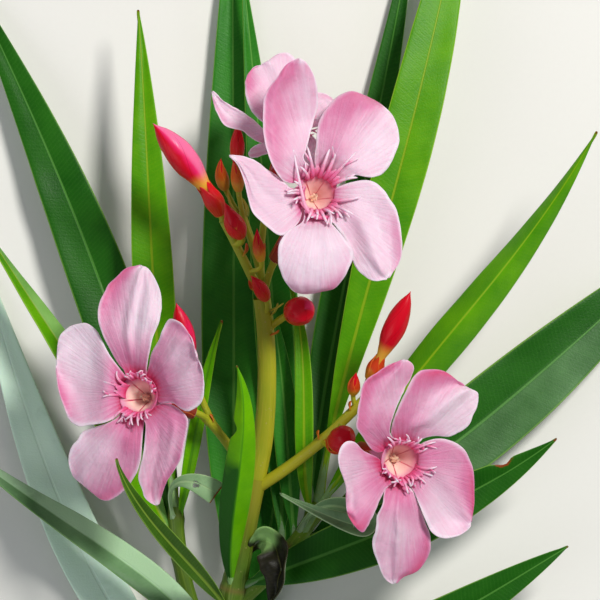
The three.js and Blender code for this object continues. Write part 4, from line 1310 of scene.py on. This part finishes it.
def add_keel(form, blade):
    """The midrib under the leaf, which is also its stalk."""
    foot = max(0.5, min(0.95, 0.085 * blade.row["width"] + 0.15))

    def thick(along):
        return blend(foot, 0.1, along**0.8) * (1 + 0.45 * hump(along, 0, 0.035))

    spots = []
    for along in (i / KEEL_RINGS for i in range(KEEL_RINGS + 1)):
        spot, _, _, out = blade.ground(along)
        # the stalk is centred on the leaf's line, and the keel sinks below the blade where that begins
        spots.append(spot - out * (0.05 + (0.1 + thick(along)) * smooth(0.03, 0.1, along)))
    add_limb(form, Track(spots), lambda turn, along: thick(along), KEEL_RINGS, KEEL_SIDES)


def punch(form, blade, middle, radius):
    """Opens a small round hole that an insect has left in the blade."""
    spot = blade.place(*middle)
    near = [face for face in form.faces if (face.calc_center_median() - spot).length < radius]
    bmesh.ops.delete(form, geom=near, context="FACES")


class BRANCH_OT_leaves(bpy.types.Operator):
    """The leaves, each with its two skins, its midrib and its damage."""

    bl_idname = "branch.leaves"
    bl_label = "Leaves"

    def execute(self, context):
        sizes = context.scene.branch_sizes
        skins = {tone: [leaf_skin(tone), leaf_underside(tone)] for tone in LEAF_TONES}
        for seed, (name, row) in enumerate(LEAVES.items()):
            node, tone, blade = f"leaf_{name}", row["tone"], Blade(seed, row)
            rows = max(28, round(blade.length / LEAF_ROW_GAP))
            form = new_form()
            add_sheet(form, LEAF_COLUMNS, rows, blade.place, flat=blade.flat, age=blade.age, wax=blade.wax)
            if "hole" in row:
                punch(form, blade, **row["hole"])
            piece(f"{node}_blade", form, skins[tone], node, sizes.leaf)
            form = new_form()
            add_keel(form, blade)
            piece(f"{node}_midrib", form, skins[tone][1:], node)
        return {"FINISHED"}


PEDICEL_RADIUS = 0.8
PEDICEL_SWEEP = 0.4
PEDICEL_OVERLAP = 0.4
FOLDS = 5
BUD_RINGS = 44
BUD_TWIST = 0.55  # how far round its folds wind, as a share of a turn
# The half width of a bud from its foot to its tip, as shares of its widest
BUD_SHAPES = {
    "spindle": (0.42, 0.5, 0.4, 0.66, 0.93, 1, 0.86, 0.53, 0),
    "flame": (0.5, 0.8, 0.97, 1, 0.93, 0.76, 0.52, 0.27, 0),
    "round": (0.42, 0.5, 0.7, 0.9, 1, 1, 0.92, 0.7, 0),
}
# painted light: the way that the painted lit side of every bud faces
PAINTED_LIGHT_WAY = Vector((0.62, 0.45, 0.64))  # the way that the sunny side of a bud faces
SEPAL_RINGS = 40
# How wide sepals are in radians, how far they stand off at their tips and middles, and how blunt they are
SHORT_SEPALS = dict(spread=2, flare=-0.1, bulge=0.6, blunt=4)
LONG_SEPALS = dict(spread=1.62, flare=-0.12, bulge=0.1, blunt=2.2)
BLOOM_SEPALS = dict(spread=1.5, flare=0.2, bulge=0.1, blunt=2.2)


def add_pedicel(form, row, foot, course):
    """The thin stalk from a stem to the foot of a calyx."""
    base = grown_from(row)
    bend = foot - PEDICEL_SWEEP * (foot - base).length * course
    thin = row.get("pedicel", PEDICEL_RADIUS)

    def radius(turn, along):
        flare = 1 + 0.3 * hump(along, 0, 0.12) + 0.25 * hump(along, 1, 0.12)
        return thin * flare * (1 + 0.04 * math.sin(FULL_TURN * 3 * turn))

    add_limb(form, curved(base, bend, foot + PEDICEL_OVERLAP * course), radius, 18, 12)


def bud_radius(row, along):
    return row["width"] / 2 * max(0, through(BUD_SHAPES[row.get("shape", "flame")], along))


def add_bud_body(form, row, track):
    """The folded petals, wound up in a spiral, and each a little proud of the next at its free edge."""
    stations = track.rings(BUD_RINGS)

    def radius(turn, along):
        ledge = 0.05 * ((FOLDS * turn) % 1 - 0.5) * smooth(0.2, 0.5, along) * (1 - smooth(0.9, 1, along))
        return bud_radius(row, along) * (1 + ledge)

    # painted light: how far each point faces the painted lit side, with pinker added
    def sunlit(turn, along):
        _, _, first, second = stations[round(along * BUD_RINGS)]
        facing = outward(FULL_TURN * (turn + BUD_TWIST * along), first, second).dot(PAINTED_LIGHT_WAY)
        return row.get("pinker", 0) + smooth(-0.1, 1, facing)

    add_limb(form, track, radius, BUD_RINGS, 40, twist=BUD_TWIST, blush=sunlit)


def add_sepals(form, track, body_radius, reach, spread, flare, bulge, blunt):
    """Five pointed sepals that clasp a bud or a tube, up to a share of its length."""
    stations = track.rings(SEPAL_RINGS)

    def place(bearing, across, along):
        share, aside = min(reach * along, 1), across - 0.5
        i = min(int(share * SEPAL_RINGS), SEPAL_RINGS - 1)
        t = share * SEPAL_RINGS - i
        spot, _, first, second = (a.lerp(b, t) for a, b in zip(stations[i], stations[i + 1]))
        wide = spread * (1 - along**blunt) ** 0.8 * (0.8 + 0.45 * math.sin(math.pi * min(1, along * 1.3)))
        # one edge of each sepal lies over the next
        stand = 0.14 + 0.12 * aside + flare * along**2 + bulge * math.sin(math.pi * along)
        return spot + (body_radius(share) + stand) * outward(bearing + aside * wide, first, second)

    def flat(across, along):
        return 4 * across, track.length * reach * along

    for k in range(5):
        add_sheet(form, 8, 14, partial(place, FULL_TURN * (k / 5)), flat=flat)


class BRANCH_OT_buds(bpy.types.Operator):
    """The buds, each with its folded petals, five sepals and thin stalk."""

    bl_idname = "branch.buds"
    bl_label = "Buds"

    def execute(self, context):
        sizes = context.scene.branch_sizes
        body_skin, stalk_skin = bud_skin(), bpy.data.materials["stalk_skin"]
        sepal_skins = {tone: sepal_skin(tone) for tone in SEPAL_TONES}
        for name, row in BUDS.items():
            node, handles = f"bud_{name}", [Vector(spot) for spot in row["path"]]
            track = curved(*handles)
            body, sepals, stalk = new_form(), new_form(), new_form()
            add_bud_body(body, row, track)
            piece(f"{node}_petals", body, [body_skin], node)
            set_out = SHORT_SEPALS if row["calyx"] < 0.5 else LONG_SEPALS
            add_sepals(sepals, track, partial(bud_radius, row), row["calyx"], **set_out)
            piece(f"{node}_sepals", sepals, [sepal_skins[row["sepals"]]], node, sizes.sepal)
            add_pedicel(stalk, row, handles[0], bezier(handles, 0)[1])
            piece(f"{node}_stalk", stalk, [stalk_skin], node)
        return {"FINISHED"}


def add_bract(form, row):
    """A small boat-shaped bract that leaves its stalk and bends along the way it points."""
    (stem, share), long, points = row["on"], row["length"], Vector(row["points"]).normalized()
    course = tracks[stem].course(share, 0.02)
    out = (points - points.dot(course) * course).normalized()
    foot = grown_from(row) + 0.7 * stem_radius(STEMS[stem], share) * out
    handles = [foot, foot + 0.45 * long * (out + points).normalized(), foot + long * points]

    def place(across, along):
        spot, way = bezier(handles, along)
        side = way.cross(out).normalized()
        half = row["width"] / 2 * math.sin(math.pi * blend(0.25, 0.99, along)) ** 0.8
        turn = 2 * across - 1
        return spot + turn * half * side + 0.35 * half * turn * turn * side.cross(way)

    add_sheet(form, 6, 10, place, flat=lambda across, along: (across * row["width"], along * long))


class BRANCH_OT_bracts(bpy.types.Operator):
    """The small bracts where the flower stalks branch."""

    bl_idname = "branch.bracts"
    bl_label = "Bracts"

    def execute(self, context):
        for number, row in enumerate(BRACTS):
            form = new_form()
            add_bract(form, row)
            skin = bpy.data.materials[f"sepal_skin_{row['tone']}"]
            piece(f"bract_{number}", form, [skin], thick=context.scene.branch_sizes.sepal)
        return {"FINISHED"}


NECK_DEPTH = 8
THROAT_DEPTH = 5.4
THROAT_RADIUS = 4.6
THROAT_TURNS = 60
TUBE_RINGS = 40
RIM_HEIGHT = -0.7
TUBE_RADIUS = 1.5
CALYX_LENGTH = 6.5
PETAL_COLUMNS = 16
PETAL_ROWS = 26
FOLD_STRENGTH = 1.45  # how much higher folds stand than they were measured, so that they read from above
MARGIN_INSET = 0.985  # how far along its edges a petal ends, since they meet in a point
CLAW_ROOT = (4.3, -0.95)  # reach and height of a petal's root on the throat's wall
CLAW_SPREAD = 40  # degrees to each side of the petal's bearing
LEVEL = (0, 0)  # the lift of an edge that neither rises nor drops


class Bloom:
    """Where the parts of one bloom lie."""

    def __init__(self, row):
        self.row = row
        self.foot, self.mouth = Vector(row["calyx"]), Vector(row["mouth"])
        lean, towards = math.radians(row["lean"]), math.radians(row["towards"])
        self.axis = Matrix.Rotation(towards, 3, "Z") @ Vector((math.sin(lean), 0, math.cos(lean)))
        neck = self.mouth - NECK_DEPTH * self.axis
        self.course = (neck - self.foot).normalized()
        rim = self.mouth + RIM_HEIGHT * self.axis
        self.tube = curved(self.foot, self.foot + CALYX_LENGTH * self.course, neck, rim)

    def on_mouth(self, bearing, reach, height):
        """A point by its bearing seen from above, its reach from the axis and its height over the mouth."""
        out = Vector((math.cos(math.radians(bearing)), math.sin(math.radians(bearing)), 0))
        out.z = -self.axis.dot(out) / self.axis.z
        return self.mouth + reach * out + height * self.axis

    def seen(self, x, y, height):
        """The point at a height over the mouth that the camera sees at this place on the blooms' plane."""
        ray = Vector((x, y, BLOOM_PLANE)) - EYE
        return EYE + ray * ((height - (EYE - self.mouth).dot(self.axis)) / ray.dot(self.axis))

    def outlined(self, point):
        """Where the camera sees a point, on the blooms' plane."""
        seen = EYE + (point - EYE) * ((BLOOM_PLANE - EYE.z) / (point.z - EYE.z))
        return Vector((seen.x, seen.y, 0))


class Petal:
    """One petal: its outline, and the height of each of its points over the mouth."""

    def __init__(self, seed, bloom, row):
        self.seed, self.bloom, self.row = seed, bloom, row
        self.edges = [self.edge(CLAW_SPREAD, row["left"]), self.edge(-CLAW_SPREAD, row["right"])]
        self.bulge = self.root(0) - self.root(CLAW_SPREAD).lerp(self.root(-CLAW_SPREAD), 0.5)

    def root(self, turn):
        return self.bloom.outlined(self.bloom.on_mouth(self.row["bearing"] + turn, *CLAW_ROOT))

    def edge(self, turn, outline):
        """An edge from the petal's root through its outline to its tip."""
        flat = (*outline, *self.row["tip"])
        return rounded([self.root(turn), *(Vector((x, y, 0)) for x, y in zip(flat[::2], flat[1::2]))])

    def height(self, across, along):
        row, seed, turn = self.row, self.seed, 2 * across - 1
        body, fading = smooth(0.1, 0.5, along), 1 - smooth(0.8, 1, along)
        rise = through(row["rise"], along)
        lift = row.get("right_lift" if turn > 0 else "left_lift", LEVEL)
        rise += through(lift, along) * abs(turn) ** 1.8
        for foot, tip, stand, spread in row.get("folds", ()):
            middle = blend(foot, tip, along)
            rise += smooth(0.1, 0.45, along) * fading * FOLD_STRENGTH * stand * hump(turn, middle, spread)
        # the claw is a gutter that follows the throat's round wall
        rise -= 0.5 * (1 - smooth(0, 0.3, along)) * (1 - turn * turn)
        # the margins ruffle, and the whole petal is wavy and lightly crumpled
        ruffle = drift(seed, 5 * along, 0.6 * turn) + 0.4 * drift(seed + 5, 13 * along, turn)
        rise += body * (0.25 + 0.75 * fading) * ruffle * abs(turn) ** 2.5
        rise += body * fading * 0.9 * drift(seed + 11, 2.6 * along, 1.8 * turn)
        return rise + body * 0.3 * drift(seed + 13, 6 * along, 4 * turn)

    def outline(self, across, along):
        """Where the camera sees a point: between the measured edges, the root round, the margin uneven."""
        turn = 2 * across - 1
        left, right = (edge.at(MARGIN_INSET * along) for edge in self.edges)
        uneven = 0.3 * drift(self.seed + 21, 20 * along, turn) * turn * abs(turn) ** 5
        uneven *= smooth(0.2, 0.4, along)
        spot = left.lerp(right, across) + uneven * (right - left).normalized()
        return spot + self.bulge * (1 - turn * turn) * (1 - smooth(0, 0.3, along))

    def place(self, across, along):
        flat = self.outline(across, along)
        return self.bloom.seen(flat.x, flat.y, self.height(across, along))

    def blush(self, across, along):
        """How pink the petal is: at its foot, towards its left edge and by its veil, which is partly painted
        shade, and less at its margin, where a paler band is a painted highlight.
        """
        turn = 2 * across - 1
        foot = 0.6 * (1 - smooth(0, 0.16, along)) + self.bloom.row["flush"] * (1 - smooth(0.08, 0.5, along))
        edge = self.row["blush"] * smooth(0.1, 1, -turn) * smooth(0.25, 0.8, along)
        # the veil is partly the petal's own pink and partly painted shade
        left, right, far = self.row["veil"]
        veil = blend(left, right, smooth(-0.4, 0.4, turn)) * smooth(0.05, 0.4, along)
        veil += far * smooth(0.6, 1, along)
        # painted highlight: a thin paler band along the margin and tip
        painted_edge_highlight = 0.4 * smooth(0.9, 1, max(abs(turn), along))
        return foot + 0.6 * edge + veil - painted_edge_highlight + 0.1 * drift(self.seed + 3, 3 * along, 2 * turn)

    def flat(self, across, along):
        """Bearing about the bloom's middle, in degrees, and reach from it, so that lines fan out."""
        spot = self.outline(across, along) - self.bloom.outlined(self.bloom.mouth)
        bearing = math.degrees(math.atan2(spot.y, spot.x)) - self.row["bearing"]
        return (bearing + 180) % 360 - 180, spot.length


class BRANCH_OT_petals(bpy.types.Operator):
    """The spread petals of each bloom."""

    bl_idname = "branch.petals"
    bl_label = "Petals"

    def execute(self, context):
        skin, seeds = petal_skin(), count(31)
        for name, row in BLOOMS.items():
            bloom, form = Bloom(row), new_form()
            for petal_row in row["petals"]:
                petal = Petal(next(seeds), bloom, petal_row)
                add_sheet(form, PETAL_COLUMNS, PETAL_ROWS, petal.place, flat=petal.flat, blush=petal.blush)
            node, thickness = f"bloom_{name}", context.scene.branch_sizes.petal
            piece(f"{node}_petals", form, [skin], node, thickness)
        return {"FINISHED"}


def tube_radius(along):
    opened = min(1, max(0, (along - 0.38) / 0.5)) ** 1.2
    return blend(TUBE_RADIUS, THROAT_RADIUS, opened)


def add_throat(form, bloom):
    """The tube that opens into the throat, and the throat's hollow inside."""
    stations = bloom.tube.rings(TUBE_RINGS)
    spot, _, first, second = stations[-1]

    def outside(turn, along):
        place, _, one, two = stations[round(along * TUBE_RINGS)]
        return place + tube_radius(along) * outward(FULL_TURN * turn, one, two)

    def inside(turn, along):
        angle, depth = -FULL_TURN * turn, THROAT_DEPTH * (1 - along)
        wall = 0.3 * smooth(0, 1, depth)
        ribs = 1 - 0.02 * (1 - math.cos(5 * angle)) * smooth(0, 2, depth)
        radius = blend(THROAT_RADIUS, 1.1, (depth / THROAT_DEPTH) ** 0.9) * ribs - wall
        return spot - depth * bloom.axis + radius * outward(angle, first, second)

    def shaded(turn):
        """From 0 on the wall that lies open to the light to 1 on the other."""
        return smooth(-0.6, 0.8, outward(-FULL_TURN * turn, first, second).dot(Vector((0.8, 0.5, 0))))

    # painted shade: the wall away from the light is pinker
    def blush(turn, along):
        return blend(0.45, 0.85, shaded(turn))

    def cream_and_lit_wall(turn, along):
        """Cream on the wall open to the light, which is painted light, and pinker towards the rim and on the
        other wall, which is painted shade.
        """
        return blend(1, 0.6, shaded(turn)) * (1 - smooth(0.6, 0.98, along))

    add_sheet(form, THROAT_TURNS, TUBE_RINGS, outside, blush=lambda turn, along: 0.55 + 0.3 * along)
    add_sheet(form, THROAT_TURNS, 24, inside, blush=blush, depth=cream_and_lit_wall)
    bmesh.ops.remove_doubles(form, verts=form.verts, dist=0.01)
    rims = [edge for edge in form.edges if edge.is_boundary]
    bmesh.ops.holes_fill(form, edges=rims, sides=THROAT_TURNS)


def add_anthers(form, bloom, rng):
    """A cone of five anthers deep in the throat, their downy plumes twisted together above it."""

    def anther(turn, along):
        return 0.3 * math.sin(math.pi * blend(0.12, 0.95, along)) ** 0.7

    for bearing in range(20, 380, 72):
        handles = [bloom.on_mouth(bearing + 10 * i, 0.8 - 0.3 * i, -5.3 + 0.9 * i) for i in range(3)]
        add_limb(form, curved(*handles), anther, 14, 10)
        spin = rng.uniform(120, 200)
        spots = [
            bloom.on_mouth(bearing + 20 + spin * t, 0.25 * t * rng.uniform(0.8, 1.2), -3.8 + 1.7 * t)
            for t in (0, 0.25, 0.5, 0.75, 1)
        ]
        add_limb(form, rounded(spots), lambda turn, along: blend(0.12, 0.06, along), 16, 6)


SCALE_SPREAD = 30  # degrees to each side of the petal's bearing
SCALE_THICKNESS = 0.25
FINGER_SPREAD = 38  # degrees from the first finger of a scale to its last
FINGER_FOOT = 0.72  # the radius of a finger at its foot, as a share of the fringe's thickness
FINGER_REACH = 3.9  # how far out from the axis fingers rise
FORKED = 0.65  # the share of fingers that fork


def add_strand(form, handles, foot, tip, pale):
    """A finger of the fringe, thick at its foot and thin at its blunt tip."""

    def radius(turn, along):
        return blend(tip, foot, (1 - along) ** 1.4) * math.sqrt(1 - 0.9 * along**10)

    add_limb(form, curved(*handles), radius, 16, 7, blush=lambda turn, along: -pale)


def add_scale(form, bloom, seed, bearing, long, pale):
    """The broad foot of a scale: it rises from the throat's rim and leans out over its petal."""
    inner = 2.7 + 1.2 * abs(math.sin(math.radians(bearing)))  # the opening is narrower than it is tall
    rising = [Vector(spot) for spot in ((inner + 0.3, -1.8), (inner, 0.2), (inner + 0.35 * long, 1.7))]

    def place(across, along):
        turn = 2 * across - 1
        cut = 1 - 0.25 * abs(math.sin(4.5 * turn + seed)) - 0.35 * turn * turn
        reach, height = bezier(rising, cut * along)[0]
        lobe = 0.25 * along * math.sin(9 * turn + 2 * seed)
        return bloom.on_mouth(bearing + SCALE_SPREAD * turn * (1 - 0.15 * along), reach, height + lobe)

    add_sheet(form, 14, 8, place, blush=lambda across, along: (0.55 - pale) * along)


def add_finger(form, bloom, rng, bearing, side, reach, width):
    """One thick finger that rises from its scale and leans out over the petal. It is often forked."""
    pale = bloom.row["fringe"]["pale"]
    high = 1.4 + 0.3 * (reach - 6.5) + rng.uniform(0, 1.3)
    swing = 0.45 * side + rng.uniform(-10, 10)
    bearing += side
    handles = [
        bloom.on_mouth(bearing, FINGER_REACH, -0.9),
        bloom.on_mouth(bearing, FINGER_REACH, 1.3),
        bloom.on_mouth(bearing + 0.3 * swing, blend(4.6, reach, 0.5), high + 0.3),
        bloom.on_mouth(bearing + swing, reach, high + rng.uniform(-0.8, 0.6)),
    ]
    tip = width * rng.uniform(0.32, 0.4)
    add_strand(form, handles, FINGER_FOOT * width, tip, pale)
    if rng.random() < FORKED:
        fork, course = bezier(handles, rng.uniform(0.5, 0.68))
        aside = rng.choice((-1, 1)) * rng.uniform(0.8, 1.5) * course.cross(bloom.axis).normalized()
        end = handles[3] + aside - 0.3 * course
        bend = fork.lerp(end, 0.5) + 0.15 * bloom.axis
        add_strand(form, (fork, bend, end), 1.1 * tip, 0.85 * tip, pale)


def add_crest(form, track):
    """One long finger that lies up a petal, and tapers."""
    add_limb(form, track, lambda turn, along: blend(0.5, 0.2, along), 40, 9, blush=lambda turn, along: -0.3)


def add_fringe(form, scales, bloom, rng, width):
    """A scale at the foot of each petal, cut into a few thick fingers that spread outwards over it."""
    fringe = bloom.row["fringe"]
    near, far = fringe["near"], fringe["far"]
    for bearing in (petal["bearing"] for petal in bloom.row["petals"]):
        favoured = 1 + 0.2 * math.cos(math.radians(bearing - fringe["longest"]))
        fingers = rng.choice((3, 4, 4))
        add_scale(scales, bloom, rng.uniform(0, 6), bearing, favoured * near, fringe["pale"])
        for finger in range(fingers):
            side = (finger / (fingers - 1) - 0.5) * FINGER_SPREAD + rng.uniform(-4, 4)
            reach = favoured * rng.uniform(near, far) * (1 - 0.006 * abs(side))
            add_finger(form, bloom, rng, bearing, side, reach, width * fringe["width"])
    if "crest" in bloom.row:
        add_crest(form, rounded([bloom.seen(*spot) for spot in bloom.row["crest"]]))


class BRANCH_OT_throats(bpy.types.Operator):
    """The tube and throat of each bloom, with its anthers and the fringe round its mouth."""

    bl_idname = "branch.throats"
    bl_label = "Throats"

    def execute(self, context):
        petal, filament, anther = bpy.data.materials["petal_skin"], filament_skin(), anther_skin()
        width = context.scene.branch_sizes.filament / MM
        rng = random.Random(5)
        for name, row in BLOOMS.items():
            node, bloom = f"bloom_{name}", Bloom(row)
            throat, anthers, fringe, scales = new_form(), new_form(), new_form(), new_form()
            add_throat(throat, bloom)
            piece(f"{node}_throat", throat, [petal], node)
            add_anthers(anthers, bloom, rng)
            piece(f"{node}_anthers", anthers, [anther], node)
            add_fringe(fringe, scales, bloom, rng, width)
            piece(f"{node}_fringe", fringe, [filament], node)
            piece(f"{node}_scales", scales, [filament], node, SCALE_THICKNESS * MM)
        return {"FINISHED"}


class BRANCH_OT_calyxes(bpy.types.Operator):
    """The sepals and the thin stalk of each bloom."""

    bl_idname = "branch.calyxes"
    bl_label = "Calyxes"

    def execute(self, context):
        # the blooms' calyxes take the darker sepal tone, a painted shade
        skin, stalk_skin = bpy.data.materials["sepal_skin_dark"], bpy.data.materials["stalk_skin"]
        for name, row in BLOOMS.items():
            node, bloom = f"bloom_{name}", Bloom(row)
            sepals, stalk = new_form(), new_form()
            add_sepals(sepals, bloom.tube, tube_radius, CALYX_LENGTH / bloom.tube.length, **BLOOM_SEPALS)
            piece(f"{node}_sepals", sepals, [skin], node, context.scene.branch_sizes.sepal)
            add_pedicel(stalk, row, bloom.foot, bloom.course)
            piece(f"{node}_stalk", stalk, [stalk_skin], node)
        return {"FINISHED"}


LIT = Vector((0, 0, 0.03))  # what the lights point at
TABLE_SIZE = 3


def add_light(name, place, size, power, tint):
    light = bpy.data.lights.new(name, "AREA")
    light.shape, light.size, light.energy, light.color = "DISK", size, power, tint
    lamp = bpy.data.objects.new(name, light)
    lamp.location = place
    lamp.rotation_euler = (LIT - Vector(place)).to_track_quat("-Z", "Y").to_euler()
    bpy.context.scene.collection.objects.link(lamp)


def matt_paper(floor):
    """The table's cover: plain uncoated paper, nearly even, with soft fibres in it."""
    material, node = new_material("matt_paper")
    fibre = node("TexNoise", {"Vector": node("TexCoord", out="Object"), "Scale": 900.0, "Detail": 3.0})
    shade = node("Math", {0: fibre, 1: 0.06}, **TIMES)
    finish_material(node, floor, ((shade, linear("#c8c6be")),), Roughness=0.9)
    return material


def add_table(floor):
    form = bmesh.new()
    bmesh.ops.create_grid(form, x_segments=1, y_segments=1, size=TABLE_SIZE)
    mesh = bpy.data.meshes.new("table_top")
    form.to_mesh(mesh)
    form.free()
    table = bpy.data.objects.new("table_top", mesh)
    bpy.context.scene.collection.objects.link(table)
    mesh.materials.append(matt_paper(floor))


def add_camera():
    """A camera that looks straight down and frames the photo's width at the height of the blooms."""
    camera = bpy.data.cameras.new("camera")
    camera.sensor_width = 36
    camera.lens = camera.sensor_width * (EYE.z - BLOOM_PLANE) / VIEW_WIDTH
    camera.clip_start, camera.clip_end = 0.05, 20
    eye = bpy.data.objects.new("camera", camera)
    eye.location = TO_METRES @ EYE
    bpy.context.scene.collection.objects.link(eye)
    bpy.context.scene.camera = eye


class BRANCH_OT_stage(bpy.types.Operator):
    """The table, the lights and the camera that looks straight down."""

    bl_idname = "branch.stage"
    bl_label = "Stage"

    def execute(self, context):
        scene, look = context.scene, context.scene.branch_stage
        add_table(tuple(look.floor))
        add_light("key", (0.4, 0.44, 0.86), 0.22, look.key, (1, 0.98, 0.94))
        add_light("fill", (-0.7, -0.5, 0.7), 0.8, look.fill, (0.94, 0.97, 1))
        world = bpy.data.worlds.new("studio")
        world.use_nodes = True
        even = world.node_tree.nodes["Background"].inputs
        even["Color"].default_value, even["Strength"].default_value = linear("#e6eaf4"), look.sky
        scene.world = world
        scene.view_settings.view_transform = "Standard"
        add_camera()
        return {"FINISHED"}


STEPS = ("stems", "leaves", "buds", "bracts", "petals", "throats", "calyxes", "stage")


class BRANCH_PT_parts(bpy.types.Panel):
    """Lists the steps that dress the branch"""

    bl_idname = "BRANCH_PT_parts"
    bl_label = "Oleander branch"
    bl_space_type = "VIEW_3D"
    bl_region_type = "UI"
    bl_category = "Branch"

    def draw(self, context):
        for step in STEPS:
            self.layout.operator(f"branch.{step}")
        for name in GROUPS:
            group = getattr(context.scene, name)
            for setting in group.__annotations__:
                self.layout.prop(group, setting)


GROUPS = {"branch_sizes": BranchSizes, "branch_colours": BranchColours, "branch_stage": BranchStage}
CLASSES = (
    *GROUPS.values(), BRANCH_OT_stems, BRANCH_OT_leaves, BRANCH_OT_buds, BRANCH_OT_bracts, BRANCH_OT_petals,
    BRANCH_OT_throats, BRANCH_OT_calyxes, BRANCH_OT_stage, BRANCH_PT_parts,
)


def register():
    for made in CLASSES:
        bpy.utils.register_class(made)
    for name, group in GROUPS.items():
        setattr(bpy.types.Scene, name, PointerProperty(type=group))


def unregister():
    for name in GROUPS:
        delattr(bpy.types.Scene, name)
    for made in reversed(CLASSES):
        bpy.utils.unregister_class(made)


def main():
    register()
    for step in STEPS:
        getattr(bpy.ops.branch, step)()


if __name__ == "__main__":
    main()
